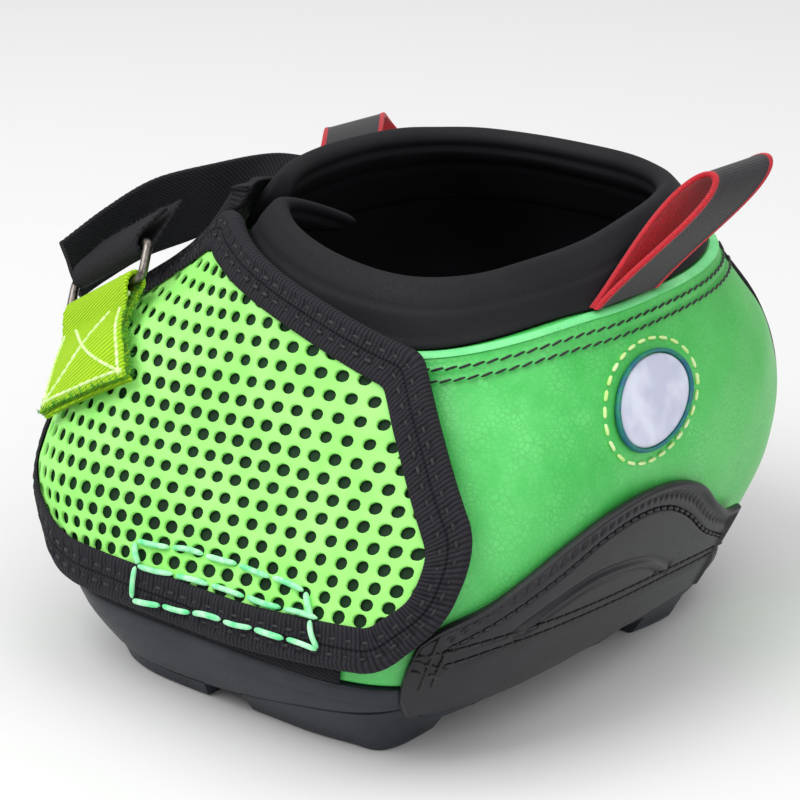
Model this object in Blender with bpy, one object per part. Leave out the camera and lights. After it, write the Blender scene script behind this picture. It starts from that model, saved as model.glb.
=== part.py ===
# Horse hoof boot, right-front closure, built as its sewn and moulded pieces.
# Metres, +Z up, toe towards -Y, the boot's left side towards +X.
# The origin is on the ground, on the middle pad of the tread.
import math

import bmesh
import bpy
import numpy as np
from mathutils import Matrix, Vector

# Driving sizes of the whole boot
upper_width = 0.161
toe_length = 0.092
heel_length = 0.102
rim_height = 0.120

# Level sections of the boot's outside, from the ground to the top line
# Each row: height, width, toe, heel, middle, toe squareness, heel squareness, taper
level_shares = (
    (0.00, 0.755, 0.89, 0.745, 0.055, 5.0, 3.6, 0.14),
    (0.185, 0.905, 1.00, 0.815, 0.055, 5.0, 3.4, 0.06),
    (0.39, 0.995, 0.89, 0.96, 0.088, 5.0, 3.2, 0.04),
    (0.54, 1.00, 0.755, 1.00, 0.108, 4.4, 3.1, 0.04),
    (0.71, 0.93, 0.61, 0.965, 0.142, 3.4, 2.9, 0.03),
    (0.84, 0.83, 0.50, 0.877, 0.167, 2.7, 2.6, 0.00),
    (1.00, 0.70, 0.38, 0.77, 0.196, 2.2, 2.3, 0.00),
)
section_samples = 721
probe_step = 0.0015

# Clearances between neighbours
seat_gap = 0.0003
layer_gap = 0.0008

# Outsole: treaded rubber pan with a raised toe wall
pan_floor = 0.0100
pan_rim = 0.0150
toe_wall_top = 0.0240
toe_wall_half = 0.060
toe_wall_slope = 0.0040
pan_wall = 0.0046
parting_height = 0.0075
parting_step = 0.0007
sole_toe_columns = 10
sole_side_columns = 24
tread_depth = 0.0062
lug_band = 0.0170
channel_width = 0.0060
channel_columns = 40
side_notch_shares = (0.30, 0.47, 0.64, 0.79)
notch_width = 0.0085
toe_notch_width = 0.0045
pad_groove_shares = (-0.41, -0.24, 0.24, 0.43)
pad_groove_width = 0.0045
pad_groove_reach = 0.0300
cutter_overrun = 0.0040

# Foot bed board and gaiter lining inside the pan
bed_thickness = 0.0030
bed_columns = 48
lining_thickness = 0.0034
lining_columns = 56
lining_rows = 6

# Green side panels, tongue and heel panel
panel_sink = 0.0010
panel_thickness = 0.0032
panel_front = 0.030
hem_front_height = 0.0975
hem_rear_height = 0.1050
hem_rise_start_share = 0.10
hem_rise_share = 0.25
hem_extra = 0.0007
hem_band_share = 0.91
panel_row_shares = (0.0, 0.1, 0.22, 0.38, 0.56, 0.74, 0.90, 0.92, 1.0)
panel_columns = 18
panel_toe_columns = 3
piping_share = 0.745
piping_radius = 0.0017
piping_gap = 0.0006
piping_sink_share = 0.8
piping_sides = 6
heel_columns = 16
tongue_columns = 6

# Moulded side wings
left_wing_start = 0.0615
right_wing_start = 0.0740
wing_rake = 0.0080
wing_thickness = 0.0030
wing_top = 0.0615
wing_height_shares = ((0.0, 0.60), (0.145, 0.79), (0.325, 0.967), (0.49, 1.00), (0.675, 0.935),
                      (0.81, 0.78), (0.93, 0.65), (1.0, 0.645))
wing_end_share = 0.645
wing_lip = 0.0009
wing_columns = 22
wing_row_shares = (0.0, 0.14, 0.20, 0.62, 0.70, 0.86, 0.92, 1.0)
wing_row_lift_shares = (0.0, 0.0, -1.0, -0.6, -1.0, -1.0, 1.0, 0.4)

# Padded collar
collar_tail = 0.0075
collar_groove = 0.0026
collar_roll = 0.0046
collar_dip = 0.0030
collar_split_share = -0.335
collar_split_gap = 0.0030
collar_roll_share = 0.17
collar_roll_depth = 0.0125
collar_columns = 46
collar_inner_lift = 0.0090

# Front shield: pad, perforated face and grosgrain binding
shield_near_bottom = 0.056
shield_near_side = 0.070
shield_near_top = 0.036
shield_far_top = 0.056
shield_far_side = 0.090
shield_far_wing = 0.084
shield_far_bottom = 0.058
shield_foot = 0.0270
shield_side_height = 0.066
shield_wing_height = 0.046
shield_near_height = 0.0980
shield_far_height = 0.1120
shield_corner = 0.014
shield_bend = 0.017
shield_far_bend = 0.009
shield_lift = 0.0016
shield_fullness = 0.0065
fullness_start = 0.012
fullness_run = 0.040
fullness_foot = 0.029
fullness_rise = 0.020
fullness_fade = 0.074
fullness_fall = 0.034
nest_gap = 0.0004
tape_thickness = 0.0011
tape_width = 0.0115
pad_thickness = 0.0013
face_thickness = 0.0010
corner_stations = 4
face_spacing = 0.0105
shield_least_cut = 0.0020
face_ring_shares = (1.0, 0.76, 0.52, 0.26)
fold_rise = 0.0030
hinge_web_height = 0.0110
hinge_web_half = 0.044
hinge_web_columns = 14

# Strap parts at the right front
keeper_around = -0.0680
keeper_facing = -0.0600
keeper_foot_reach = 0.0270
keeper_gap = 0.0012
keeper_width = 0.0340
web_thickness = 0.0014
ring_height = 0.0820
ring_wire = 0.0013
ring_long = 0.0395
ring_short = 0.0105
ring_corner = 0.0030
ring_sides = 8
ring_lean = 0.0030
fold_gap = 0.0005
strap_tilt = 0.72
strap_skew = 0.15
strap_rest_lift = 0.0105
keeper_bend_start = 0.006
keeper_bend_length = 0.014
strap_width = 0.0335
strap_inner_leg = 0.0170
strap_outer_leg = 0.0125
fold_turns = 8
hook_thickness = 0.0018
hook_width = 0.0230
hook_rear_around = -0.0905
hook_line_height = 0.1120
hook_rear_lift = 0.0006
hook_line_shares = (
    (-0.888, 0.114, 0.921),
    (-1.031, 0.000, 0.883),
    (-1.155, -0.130, 0.846),
    (-1.199, -0.293, 0.800),
    (-1.205, -0.489, 0.746),
)
hook_point = 0.0095

# Pull tabs
tab_width = 0.0260
tab_length = 0.0500
tab_belly = 0.0100
tab_thickness = 0.0011
near_tab_share = 0.37
far_tab_share = 0.50
near_tab_back_lean = 1.40
far_tab_back_lean = 1.50
near_tab_lean = 0.10
far_tab_lean = 0.75
near_tab_droop = 0.20
far_tab_droop = 1.75
tab_stations = 9
tab_seat_lift = -0.0010

# Side badges
badge_height = 0.0815
badge_share = 0.440
badge_disc_radius = 0.0128
badge_ring_width = 0.0030
badge_thickness = 0.0009
badge_sides = 24


for old in list(bpy.data.objects):
    bpy.data.objects.remove(old, do_unlink=True)
for old in list(bpy.data.meshes):
    bpy.data.meshes.remove(old)


# Materials
def finish(name, colour, roughness, metallic=0.0):
    material = bpy.data.materials.new(name)
    material.use_nodes = True
    shader = material.node_tree.nodes["Principled BSDF"]
    shader.inputs["Base Color"].default_value = (*colour, 1.0)
    shader.inputs["Roughness"].default_value = roughness
    shader.inputs["Metallic"].default_value = metallic
    return material


sole_rubber = finish("sole_rubber", (0.025, 0.030, 0.038), 0.62)
wing_rubber = finish("wing_rubber", (0.020, 0.020, 0.024), 0.50)
green_leather = finish("green_leather", (0.07, 0.52, 0.10), 0.38)
black_neoprene = finish("black_neoprene", (0.012, 0.012, 0.014), 0.75)
black_tape = finish("black_tape", (0.018, 0.017, 0.018), 0.80)
lime_face = finish("lime_face", (0.33, 0.90, 0.14), 0.45)
lime_webbing = finish("lime_webbing", (0.42, 0.70, 0.02), 0.55)
ring_steel = finish("ring_steel", (0.10, 0.10, 0.11), 0.30, 1.0)
red_ribbon = finish("red_ribbon", (0.45, 0.01, 0.03), 0.60)
badge_white = finish("badge_white", (0.75, 0.77, 0.82), 0.25)
badge_teal = finish("badge_teal", (0.02, 0.30, 0.25), 0.40)


# Outside surface of the boot
level_table = np.array(level_shares)


def smooth_column(column, height):
    heights = level_table[:, 0] * rim_height
    values = level_table[:, column]
    slopes = np.gradient(values, heights)
    at = float(np.clip(height, heights[0], heights[-1]))
    k = int(np.clip(np.searchsorted(heights, at) - 1, 0, len(heights) - 2))
    span = heights[k + 1] - heights[k]
    t = (at - heights[k]) / span
    start = values[k] * (2 * t**3 - 3 * t**2 + 1) + slopes[k] * span * (t**3 - 2 * t**2 + t)
    end = values[k + 1] * (3 * t**2 - 2 * t**3) + slopes[k + 1] * span * (t**3 - t**2)
    return start + end


sections = {}


def section_at(height):
    key = round(height, 6)
    if key not in sections:
        half = smooth_column(1, height) * upper_width / 2
        toe = smooth_column(2, height) * toe_length
        heel = smooth_column(3, height) * heel_length
        middle = smooth_column(4, height) * heel_length
        toe_square = smooth_column(5, height)
        heel_square = smooth_column(6, height)
        taper = smooth_column(7, height)
        angles = np.linspace(-math.pi / 2, math.pi / 2, section_samples)
        depth = np.where(angles > 0, heel - middle, toe + middle)
        square = np.where(angles > 0, heel_square, toe_square)
        across = (np.abs(np.cos(angles)) / half) ** square
        along = (np.abs(np.sin(angles)) / depth) ** square
        radius = (across + along) ** (-1 / square)
        x = radius * np.cos(angles)
        y = radius * np.sin(angles)
        front = np.clip(-y / (toe + middle), 0, 1)
        x = x * (1 - taper * front**2)
        y = y + middle
        steps = np.hypot(np.diff(x), np.diff(y))
        sections[key] = (np.concatenate([[0.0], np.cumsum(steps)]), x, y)
    return sections[key]


def half_girth(height):
    return float(section_at(height)[0][-1])


def plan_point(around, height):
    girth, x, y = section_at(height)
    reach = abs(around)
    side = 1.0 if around >= 0 else -1.0
    if reach > girth[-1]:
        reach = 2 * girth[-1] - reach
        side = -side
    return Vector((side * float(np.interp(reach, girth, x)), float(np.interp(reach, girth, y)), height))


def skin_normal(around, height):
    middle = min(max(height, probe_step), rim_height - probe_step)
    low = middle - probe_step
    high = middle + probe_step
    share = around / half_girth(height)
    sideways = plan_point(around + probe_step, middle) - plan_point(around - probe_step, middle)
    upward = plan_point(share * half_girth(high), high) - plan_point(share * half_girth(low), low)
    return sideways.cross(upward).normalized()


def skin(around, height, lift=0.0):
    return plan_point(around, height) + skin_normal(around, height) * lift


def level_skin(around, height, lift=0.0):
    normal = skin_normal(around, height)
    flat = Vector((normal.x, normal.y, 0)).normalized()
    return plan_point(around, height) + flat * lift


# Making bodies from loops, grids and rings
def add_body(name, vertices, faces, material):
    mesh = bpy.data.meshes.new(name)
    mesh.from_pydata([tuple(v) for v in vertices], [], faces)
    work = bmesh.new()
    work.from_mesh(mesh)
    bmesh.ops.recalc_face_normals(work, faces=work.faces)
    work.to_mesh(mesh)
    work.free()
    mesh.materials.append(material)
    mesh.shade_smooth()
    mesh.set_sharp_from_angle(angle=math.radians(40))
    item = bpy.data.objects.new(name, mesh)
    bpy.context.collection.objects.link(item)
    return item


def put_origin(item, place):
    # A moving piece turns about its own origin
    item.data.transform(Matrix.Translation(-place))
    item.location = place


def loft(name, loops, material, closed_path=False):
    count = len(loops[0])
    vertices = [v for loop in loops for v in loop]
    faces = []
    last = len(loops) if closed_path else len(loops) - 1
    for i in range(last):
        here = i * count
        there = ((i + 1) % len(loops)) * count
        for j in range(count):
            k = (j + 1) % count
            faces.append((here + j, here + k, there + k, there + j))
    if not closed_path:
        faces.append(tuple(range(count)))
        faces.append(tuple((len(loops) - 1) * count + j for j in range(count)))
    return add_body(name, vertices, faces, material)


def slab(name, columns, rows, place, material):
    # place(s, t, side) gives a point for shares s and t; side is 0 inside and 1 outside
    vertices = []
    for side in (0, 1):
        for i in range(columns + 1):
            for j in range(rows + 1):
                vertices.append(place(i / columns, j / rows, side))
    width = rows + 1
    sheet = (columns + 1) * width
    faces = []
    for i in range(columns):
        for j in range(rows):
            a = i * width + j
            faces.append((a, a + 1, a + width + 1, a + width))
            faces.append((sheet + a, sheet + a + width, sheet + a + width + 1, sheet + a + 1))
    for i in range(columns):
        for j in (0, rows):
            a = i * width + j
            faces.append((a, a + width, sheet + a + width, sheet + a))
    for j in range(rows):
        for i in (0, columns):
            a = i * width + j
            faces.append((a, a + 1, sheet + a + 1, sheet + a))
    return add_body(name, vertices, faces, material)


def step_share(value, start, length):
    t = min(max((value - start) / length, 0), 1)
    return t * t * (3 - 2 * t)


# Heights along the boot
def rim_at(around):
    beyond = step_share(abs(around), toe_wall_half, toe_wall_slope)
    return toe_wall_top + (pan_rim - toe_wall_top) * beyond


def hem_at(around):
    share = min(abs(around) / half_girth(hem_front_height), 1)
    rise = step_share(share, hem_rise_start_share, hem_rise_share)
    return hem_front_height + (hem_rear_height - hem_front_height) * rise


# Outsole
def sole_shares():
    # Shares of the half girth, with a column at each end of the toe wall's slope
    girth = half_girth(pan_rim)
    toe = toe_wall_half / girth
    low = (toe_wall_half + toe_wall_slope) / girth
    side = [toe * i / sole_toe_columns for i in range(sole_toe_columns + 1)]
    side += [low + (1 - low) * i / sole_side_columns for i in range(sole_side_columns + 1)]
    return [-share for share in side[:0:-1]] + side[:-1]


def sole_loops():
    loops = []
    for share in sole_shares():
        rim = rim_at(share * half_girth(pan_rim))

        def at(height, lift):
            return level_skin(share * half_girth(height), height, lift)

        loops.append([
            at(0, 0),
            at(parting_height, 0),
            at(parting_height + parting_step, parting_step),
            at(pan_rim - parting_step, 0),
            at(rim, 0),
            at(rim, -pan_wall),
            at(pan_floor, -pan_wall),
        ])
    return loops


def make_outsole():
    loops = sole_loops()
    count = len(loops[0])
    columns = len(loops)
    vertices = [v for loop in loops for v in loop]
    faces = []
    for i in range(columns):
        k = (i + 1) % columns
        for j in range(count - 1):
            faces.append((i * count + j, k * count + j, k * count + j + 1, i * count + j + 1))
    faces.append(tuple(i * count for i in range(columns)))
    faces.append(tuple(i * count + count - 1 for i in range(columns)))
    return add_body("outsole", vertices, faces, sole_rubber)


def cutter(name, vertices, faces):
    item = add_body(name, vertices, faces, sole_rubber)
    item.hide_render = True
    item.display_type = "WIRE"
    return item


def channel_cutter():
    inner = lug_band + channel_width
    loops = []
    for i in range(channel_columns):
        share = -1 + 2 * i / channel_columns
        around = share * half_girth(0)
        outer_point = level_skin(around, 0, -lug_band)
        inner_point = level_skin(around, 0, -inner)
        loops.append([
            outer_point - Vector((0, 0, cutter_overrun)),
            outer_point + Vector((0, 0, tread_depth)),
            inner_point + Vector((0, 0, tread_depth)),
            inner_point - Vector((0, 0, cutter_overrun)),
        ])
    vertices = [v for loop in loops for v in loop]
    faces = []
    for i in range(channel_columns):
        k = (i + 1) % channel_columns
        for j in range(4):
            m = (j + 1) % 4
            faces.append((i * 4 + j, k * 4 + j, k * 4 + m, i * 4 + m))
    return cutter("tread_channel_cut", vertices, faces)


def add_block(vertices, faces, start, end, width, top, floor):
    # A groove block from start to end on the ground, narrower at its top
    run = (end - start).normalized()
    side = Vector((run.y, -run.x, 0)) * (width / 2)
    base = len(vertices)
    for place in (start, end):
        for sign in (-1, 1):
            vertices.append(place + side * sign + Vector((0, 0, floor)))
            vertices.append(place + side * (sign * 0.7) + Vector((0, 0, top)))
    a, b, c, d, e, f, g, h = range(base, base + 8)
    faces += [(a, b, d, c), (e, g, h, f), (a, e, f, b), (c, d, h, g), (b, f, h, d), (a, c, g, e)]


def groove_cutter():
    vertices, faces = [], []
    top = tread_depth - seat_gap
    inner = lug_band + channel_width / 2
    places = [(0.0, toe_notch_width)]
    for share in side_notch_shares:
        places += [(share, notch_width), (-share, notch_width)]
    for share, width in places:
        around = share * half_girth(0)
        start = level_skin(around, 0, cutter_overrun + channel_width)
        end = level_skin(around, 0, -inner)
        add_block(vertices, faces, start, end, width, top, -cutter_overrun)
    for share in pad_groove_shares:
        start = Vector((-pad_groove_reach, toe_length * share, 0))
        end = Vector((pad_groove_reach, toe_length * share, 0))
        add_block(vertices, faces, start, end, pad_groove_width, top, -cutter_overrun)
    return cutter("tread_groove_cut", vertices, faces)


outsole = make_outsole()
for tool in (channel_cutter(), groove_cutter()):
    cut = outsole.modifiers.new(tool.name, "BOOLEAN")
    cut.operation = "DIFFERENCE"
    cut.solver = "EXACT"
    cut.object = tool


# Foot bed
def make_bed():
    sink = pan_wall + lining_thickness + 2 * layer_gap
    low, high = [], []
    for i in range(bed_columns):
        share = -1 + 2 * i / bed_columns
        point = level_skin(share * half_girth(pan_floor), pan_floor, -sink)
        low.append(Vector((point.x, point.y, pan_floor + seat_gap)))
        high.append(Vector((point.x, point.y, pan_floor + seat_gap + bed_thickness)))
    return loft("foot_bed", [low, high], black_neoprene)


make_bed()


# Lining, a full ring of padded cloth inside the pan
lining_lift = -(pan_wall + layer_gap)


def make_lining():
    loops = []
    for i in range(lining_columns):
        share = -1 + 2 * i / lining_columns
        outer, inner = [], []
        for j in range(lining_rows + 1):
            t = j / lining_rows
            top = hem_at(share * half_girth(hem_front_height)) - collar_tail - seat_gap
            height = pan_floor + seat_gap + (top - pan_floor - seat_gap) * t
            around = share * half_girth(height)
            outer.append(level_skin(around, height, lining_lift))
            inner.append(level_skin(around, height, lining_lift - lining_thickness))
        loops.append(outer + inner[::-1])
    return loft("lining", loops, black_neoprene, closed_path=True)


make_lining()


# Panels
def upper_panel(name, start, end, top_at, material, columns, row_shares, extra, foot_share=float):
    # start and end give the distance around at a height; extra gives added lift near the top
    def place(s, t, side):
        foot = start(pan_rim) + (end(pan_rim) - start(pan_rim)) * foot_share(s)
        head = start(hem_front_height) + (end(hem_front_height) - start(hem_front_height)) * s
        low = rim_at(max(abs(foot) - 2 * layer_gap, 0)) + seat_gap
        high = top_at(head)
        s += (foot_share(s) - s) * (1 - t)
        share = row_shares[round(t * (len(row_shares) - 1))]
        height = low + (high - low) * share
        around = start(height) + (end(height) - start(height)) * s
        lift = -panel_sink + (extra if share > hem_band_share else 0) if side else -panel_sink - panel_thickness
        return level_skin(around, height, lift)

    return slab(name, columns, len(row_shares) - 1, place, material)


def make_side_panel(name, side):
    def start(height):
        return side * panel_front

    def end(height):
        return side * (piping_share * half_girth(height) - piping_radius - piping_gap)

    # Columns at the foot line up with both ends of the toe wall's slope
    run = piping_share * half_girth(pan_rim) - panel_front
    first = toe_wall_half + 2 * layer_gap - panel_front
    marks = (first / run, (first + toe_wall_slope) / run)
    knots = (0, panel_toe_columns / panel_columns, (panel_toe_columns + 1) / panel_columns, 1)

    def foot_share(s):
        return float(np.interp(s, knots, (0, marks[0], marks[1], 1)))

    return upper_panel(name, start, end, hem_at, green_leather, panel_columns, panel_row_shares,
                       hem_extra, foot_share)


def make_tongue():
    def start(height):
        return -panel_front + 2 * seat_gap

    def end(height):
        return panel_front - 2 * seat_gap

    return upper_panel("tongue", start, end, hem_at, black_neoprene, tongue_columns, panel_row_shares, 0)


def make_heel_panel():
    def start(height):
        return piping_share * half_girth(height) + piping_radius + piping_gap

    def end(height):
        return (2 - piping_share) * half_girth(height) - piping_radius - piping_gap

    return upper_panel("heel_panel", start, end, hem_at, black_neoprene, heel_columns, panel_row_shares, 0)


make_side_panel("left_panel", 1)
make_side_panel("right_panel", -1)
make_tongue()
make_heel_panel()


# Heel piping
def tube(name, points, radius, sides, material):
    loops = []
    for i, point in enumerate(points):
        before = points[max(i - 1, 0)]
        after = points[min(i + 1, len(points) - 1)]
        run = (after - before).normalized()
        across = run.cross(Vector((0, 0, 1)))
        if across.length < 0.05:
            across = run.cross(Vector((1, 0, 0)))
        across.normalize()
        other = run.cross(across)
        loops.append([
            point + (across * math.cos(2 * math.pi * k / sides) + other * math.sin(2 * math.pi * k / sides)) * radius
            for k in range(sides)
        ])
    return loft(name, loops, material)


def make_piping(name, side):
    points = []
    low = pan_rim + seat_gap
    high = hem_at(side * piping_share * half_girth(hem_front_height))
    for share in panel_row_shares:
        height = low + (high - low) * share
        if share == 0:
            height += piping_radius / 2
        around = side * piping_share * half_girth(height)
        points.append(level_skin(around, height, -panel_sink - piping_radius * piping_sink_share))
    return tube(name, points, piping_radius, piping_sides, black_tape)


make_piping("left_piping", 1)
make_piping("right_piping", -1)


# Side wings
def make_wing(name, side, front):
    shares = np.array(wing_height_shares)

    def place(s, t, face):
        k = round(t * (len(wing_row_shares) - 1))
        share = wing_row_shares[k]
        low = pan_rim + seat_gap
        top = wing_top * float(np.interp(s, shares[:, 0], shares[:, 1]))
        height = low + (top - low) * share
        first = front + wing_rake * share
        last = wing_end_share * half_girth(height)
        around = side * (first + (last - first) * s)
        lift = wing_thickness + wing_lip * wing_row_lift_shares[k] if face else seat_gap
        return level_skin(around, height, lift)

    return slab(name, wing_columns, len(wing_row_shares) - 1, place, wing_rubber)


make_wing("left_wing", 1, left_wing_start)
make_wing("right_wing", -1, right_wing_start)


# Collar
def collar_loop(share):
    around = share * half_girth(rim_height)
    hem = hem_at(share * half_girth(hem_front_height))
    rim = rim_height - collar_dip * math.cos(math.pi * share) ** 2
    behind = lining_lift
    inner = -collar_inner_lift

    # The front end rolls inward towards the split
    roll = collar_roll_depth * step_share(-share, -collar_split_share - collar_roll_share, collar_roll_share)
    roll = roll if share > collar_split_share else 0

    def at(height, lift):
        rolled = roll * max((height - hem) / (rim - hem), 0)
        return level_skin(share * half_girth(height), height, lift - rolled)

    tail = hem - collar_tail
    middle = (hem + rim) / 2
    return [
        at(tail, behind),
        at(hem + layer_gap, behind),
        at(hem + 2 * layer_gap, -collar_groove),
        at(middle, -panel_sink),
        at(rim - collar_roll * 0.6, 0),
        at(rim - collar_roll * 0.2, -collar_roll * 0.4) + Vector((0, 0, collar_roll * 0.6)),
        at(rim, -collar_roll) + Vector((0, 0, collar_roll)),
        at(rim, -collar_roll * 1.7) + Vector((0, 0, collar_roll * 0.5)),
        at(rim - collar_roll * 0.6, -collar_roll * 2),
        at(middle, inner),
        at(hem, inner),
        at(tail, inner),
    ]


def make_collar():
    gap = collar_split_gap / half_girth(rim_height)
    start = collar_split_share + gap / 2
    end = collar_split_share + 2 - gap / 2
    loops = []
    for i in range(collar_columns + 1):
        share = start + (end - start) * i / collar_columns
        loops.append(collar_loop(share if share <= 1 else share - 2))
    return loft("collar", loops, black_neoprene)


make_collar()


# Front shield
shield_corners = (
    (shield_near_bottom, shield_foot),
    (shield_near_side, shield_side_height),
    (shield_near_top, shield_near_height),
    (-shield_far_top, shield_far_height),
    (-shield_far_side, shield_side_height),
    (-shield_far_wing, shield_wing_height),
    (-shield_far_bottom, shield_foot),
)
shield_cuts = (shield_corner, shield_bend, shield_corner, shield_corner, shield_far_bend, shield_far_bend, shield_corner)


def shield_skin(around, height, lift=0.0):
    # The shield stands fuller than the body at the right front corner
    full = step_share(-around, fullness_start, fullness_run)
    full *= step_share(height, fullness_foot, fullness_rise)
    full *= 1 - step_share(height, fullness_fade, fullness_fall)
    return skin(around, height, lift + shield_fullness * full)


def shield_edge(depth):
    # The shield's outline drawn in by depth, with the same stations at every depth
    total = len(shield_corners)
    corners = [Vector(c) for c in shield_corners]
    runs = [(corners[(i + 1) % total] - corners[i]).normalized() for i in range(total)]
    moved, cuts = [], []
    for i in range(total):
        half_turn = runs[i - 1].angle(runs[i]) / 2
        toward = (runs[i] - runs[i - 1]).normalized()
        moved.append(corners[i] + toward * (depth / math.cos(half_turn)))
        cuts.append(max(shield_cuts[i] - depth * math.tan(half_turn), shield_least_cut))
    points = []
    for i in range(total):
        enter = moved[i] - runs[i - 1] * cuts[i]
        leave = moved[i] + runs[i] * cuts[i]
        for k in range(corner_stations):
            t = k / (corner_stations - 1)
            points.append(enter * (1 - t) ** 2 + moved[i] * (2 * t * (1 - t)) + leave * t**2)
        k = (i + 1) % total
        arrive = moved[k] - runs[i] * cuts[k]
        edge_count = max(round((corners[k] - corners[i]).length / face_spacing) - 2, 1)
        points += [leave.lerp(arrive, j / (edge_count + 1)) for j in range(1, edge_count + 1)]
    return points


shield_back = shield_lift + tape_thickness
pad_low = shield_back + nest_gap
pad_high = pad_low + pad_thickness
face_low = pad_high + nest_gap
face_high = face_low + face_thickness
shield_front = face_high + nest_gap
shield_top = shield_front + tape_thickness


def split_quad(a, b, c, d):
    return [(a, b, c), (a, c, d)]


def shield_sheet(name, low, high, material):
    # Both faces and the binding's lips are cut along the same diagonals, so the layers nest
    edge = shield_edge(tape_thickness + seat_gap)
    step = shield_edge(tape_width)
    centre = sum(step, Vector((0, 0))) / len(step)
    rings = [edge, shield_edge(tape_width / 2)]
    rings += [[centre + (p - centre) * share for p in step] for share in face_ring_shares]
    vertices, faces = [], []
    for lift in (low, high):
        for ring in rings:
            vertices += [shield_skin(p.x, p.y, lift) for p in ring]
        vertices.append(shield_skin(centre.x, centre.y, lift))
    size = len(edge)
    sheet = size * len(rings) + 1
    for i in range(size):
        k = (i + 1) % size
        for start in (0, sheet):
            for j in range(len(rings) - 1):
                a, b = start + j * size, start + (j + 1) * size
                faces += split_quad(a + i, b + i, b + k, a + k)
            last = start + (len(rings) - 1) * size
            faces.append((last + i, start + sheet - 1, last + k))
        faces.append((i, k, sheet + k, sheet + i))
    return add_body(name, vertices, faces, material)


def make_binding():
    middle = tape_width / 2
    profile = (
        (0, shield_lift),
        (middle, shield_lift),
        (tape_width, shield_lift),
        (tape_width, shield_back),
        (middle, shield_back),
        (tape_thickness, shield_back),
        (tape_thickness, shield_front),
        (middle, shield_front),
        (tape_width, shield_front),
        (tape_width, shield_top),
        (middle, shield_top),
        (0, shield_top),
    )
    edges = {depth: shield_edge(depth) for depth in (0, tape_thickness, middle, tape_width)}
    size = len(edges[0])
    count = len(profile)
    vertices, faces = [], []
    for i in range(size):
        vertices += [shield_skin(edges[depth][i].x, edges[depth][i].y, lift) for depth, lift in profile]
    for i in range(size):
        here, there = i * count, (i + 1) % size * count
        for j in range(count):
            k = (j + 1) % count
            if profile[k][0] >= profile[j][0]:
                faces += split_quad(here + j, here + k, there + k, there + j)
            else:
                faces += split_quad(here + k, there + k, there + j, here + j)
    return add_body("shield_binding", vertices, faces, black_tape)


fold_line = level_skin(0, toe_wall_top + fold_rise, shield_lift / 2)
for piece in (
    shield_sheet("shield_pad", pad_low, pad_high, black_neoprene),
    shield_sheet("shield_face", face_low, face_high, lime_face),
    make_binding(),
):
    put_origin(piece, fold_line)


def make_hinge_web():
    low = toe_wall_top + seat_gap
    inner = seat_gap - panel_sink
    outer = shield_lift - layer_gap

    def place(s, t, side):
        around = hinge_web_half * (2 * s - 1)
        return level_skin(around, low + hinge_web_height * t, outer if side else inner)

    return slab("hinge_web", hinge_web_columns, 2, place, black_tape)


make_hinge_web()


# Strap parts, laid out on a frame tangent to the right front of the shield
frame_normal = skin_normal(keeper_facing, ring_height)
frame_slant = math.sqrt(1 - frame_normal.z**2)
frame_level = Vector((0, 0, 1)).cross(frame_normal).normalized()
frame_level = frame_level if frame_level.y > 0 else -frame_level
frame_up = frame_normal.cross(frame_level)
frame_up = frame_up if frame_up.z > 0 else -frame_up
frame_origin = shield_skin(keeper_around, ring_height)
along_tilt = strap_tilt - strap_skew


def frame_shares(across, along):
    # How far to the rear and how far up, for a place on the strap
    rear = across * math.cos(strap_tilt) + along * math.sin(along_tilt)
    rise = along * math.cos(along_tilt) - across * math.sin(strap_tilt)
    return rear, rise


def flat_point(across, along, lift):
    rear, rise = frame_shares(across, along)
    return frame_origin + frame_level * rear + frame_up * rise + frame_normal * lift


def strap_point(across, along, lift):
    # Flat by the ring, bending onto the shield towards the keeper's foot
    rear, rise = frame_shares(across, along)
    near = step_share(-along, keeper_bend_start, keeper_bend_length)
    on_shield = shield_skin(keeper_around - rear, ring_height + rise * frame_slant, lift)
    return flat_point(across, along, lift).lerp(on_shield, near)


def folded_web(name, line, width, material):
    # line lists places along and lift of the web's middle; the web is web_thickness thick
    loops = []
    across_shares = (-0.5, -0.25, 0, 0.25, 0.5)
    for i, (along, lift) in enumerate(line):
        before = Vector(line[max(i - 1, 0)])
        after = Vector(line[min(i + 1, len(line) - 1)])
        run = (after - before).normalized()
        offset = Vector((-run.y, run.x)) * (web_thickness / 2)
        loop = [strap_point(width * s, along + offset.x, lift + offset.y) for s in across_shares]
        loop += [strap_point(width * s, along - offset.x, lift - offset.y) for s in across_shares[::-1]]
        loops.append(loop)
    return loft(name, loops, material)


def fold_arc(centre, radius, start, sweep):
    points = []
    for k in range(fold_turns + 1):
        angle = start + sweep * k / fold_turns
        points.append((centre[0] + radius * math.sin(angle), centre[1] - radius * math.cos(angle)))
    return points


keeper_low = shield_top + keeper_gap + web_thickness / 2
fold_radius = ring_wire + fold_gap + web_thickness / 2
lower_bar = (0, keeper_low + fold_radius)
upper_bar = (ring_short, lower_bar[1] + ring_lean)
keeper_foot_along = -keeper_foot_reach
keeper_outer = keeper_low + web_thickness + seat_gap


def make_keeper():
    line = [(keeper_foot_along, keeper_low)]
    line += [(keeper_foot_along * share, keeper_low) for share in (0.75, 0.5, 0.25)]
    line += fold_arc(lower_bar, fold_radius, 0, math.pi)
    line += [(keeper_foot_along * share, keeper_outer) for share in (0.35, 0.5, 0.75, 0.95)]
    return folded_web("keeper_loop", line, keeper_width, lime_webbing)


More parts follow.
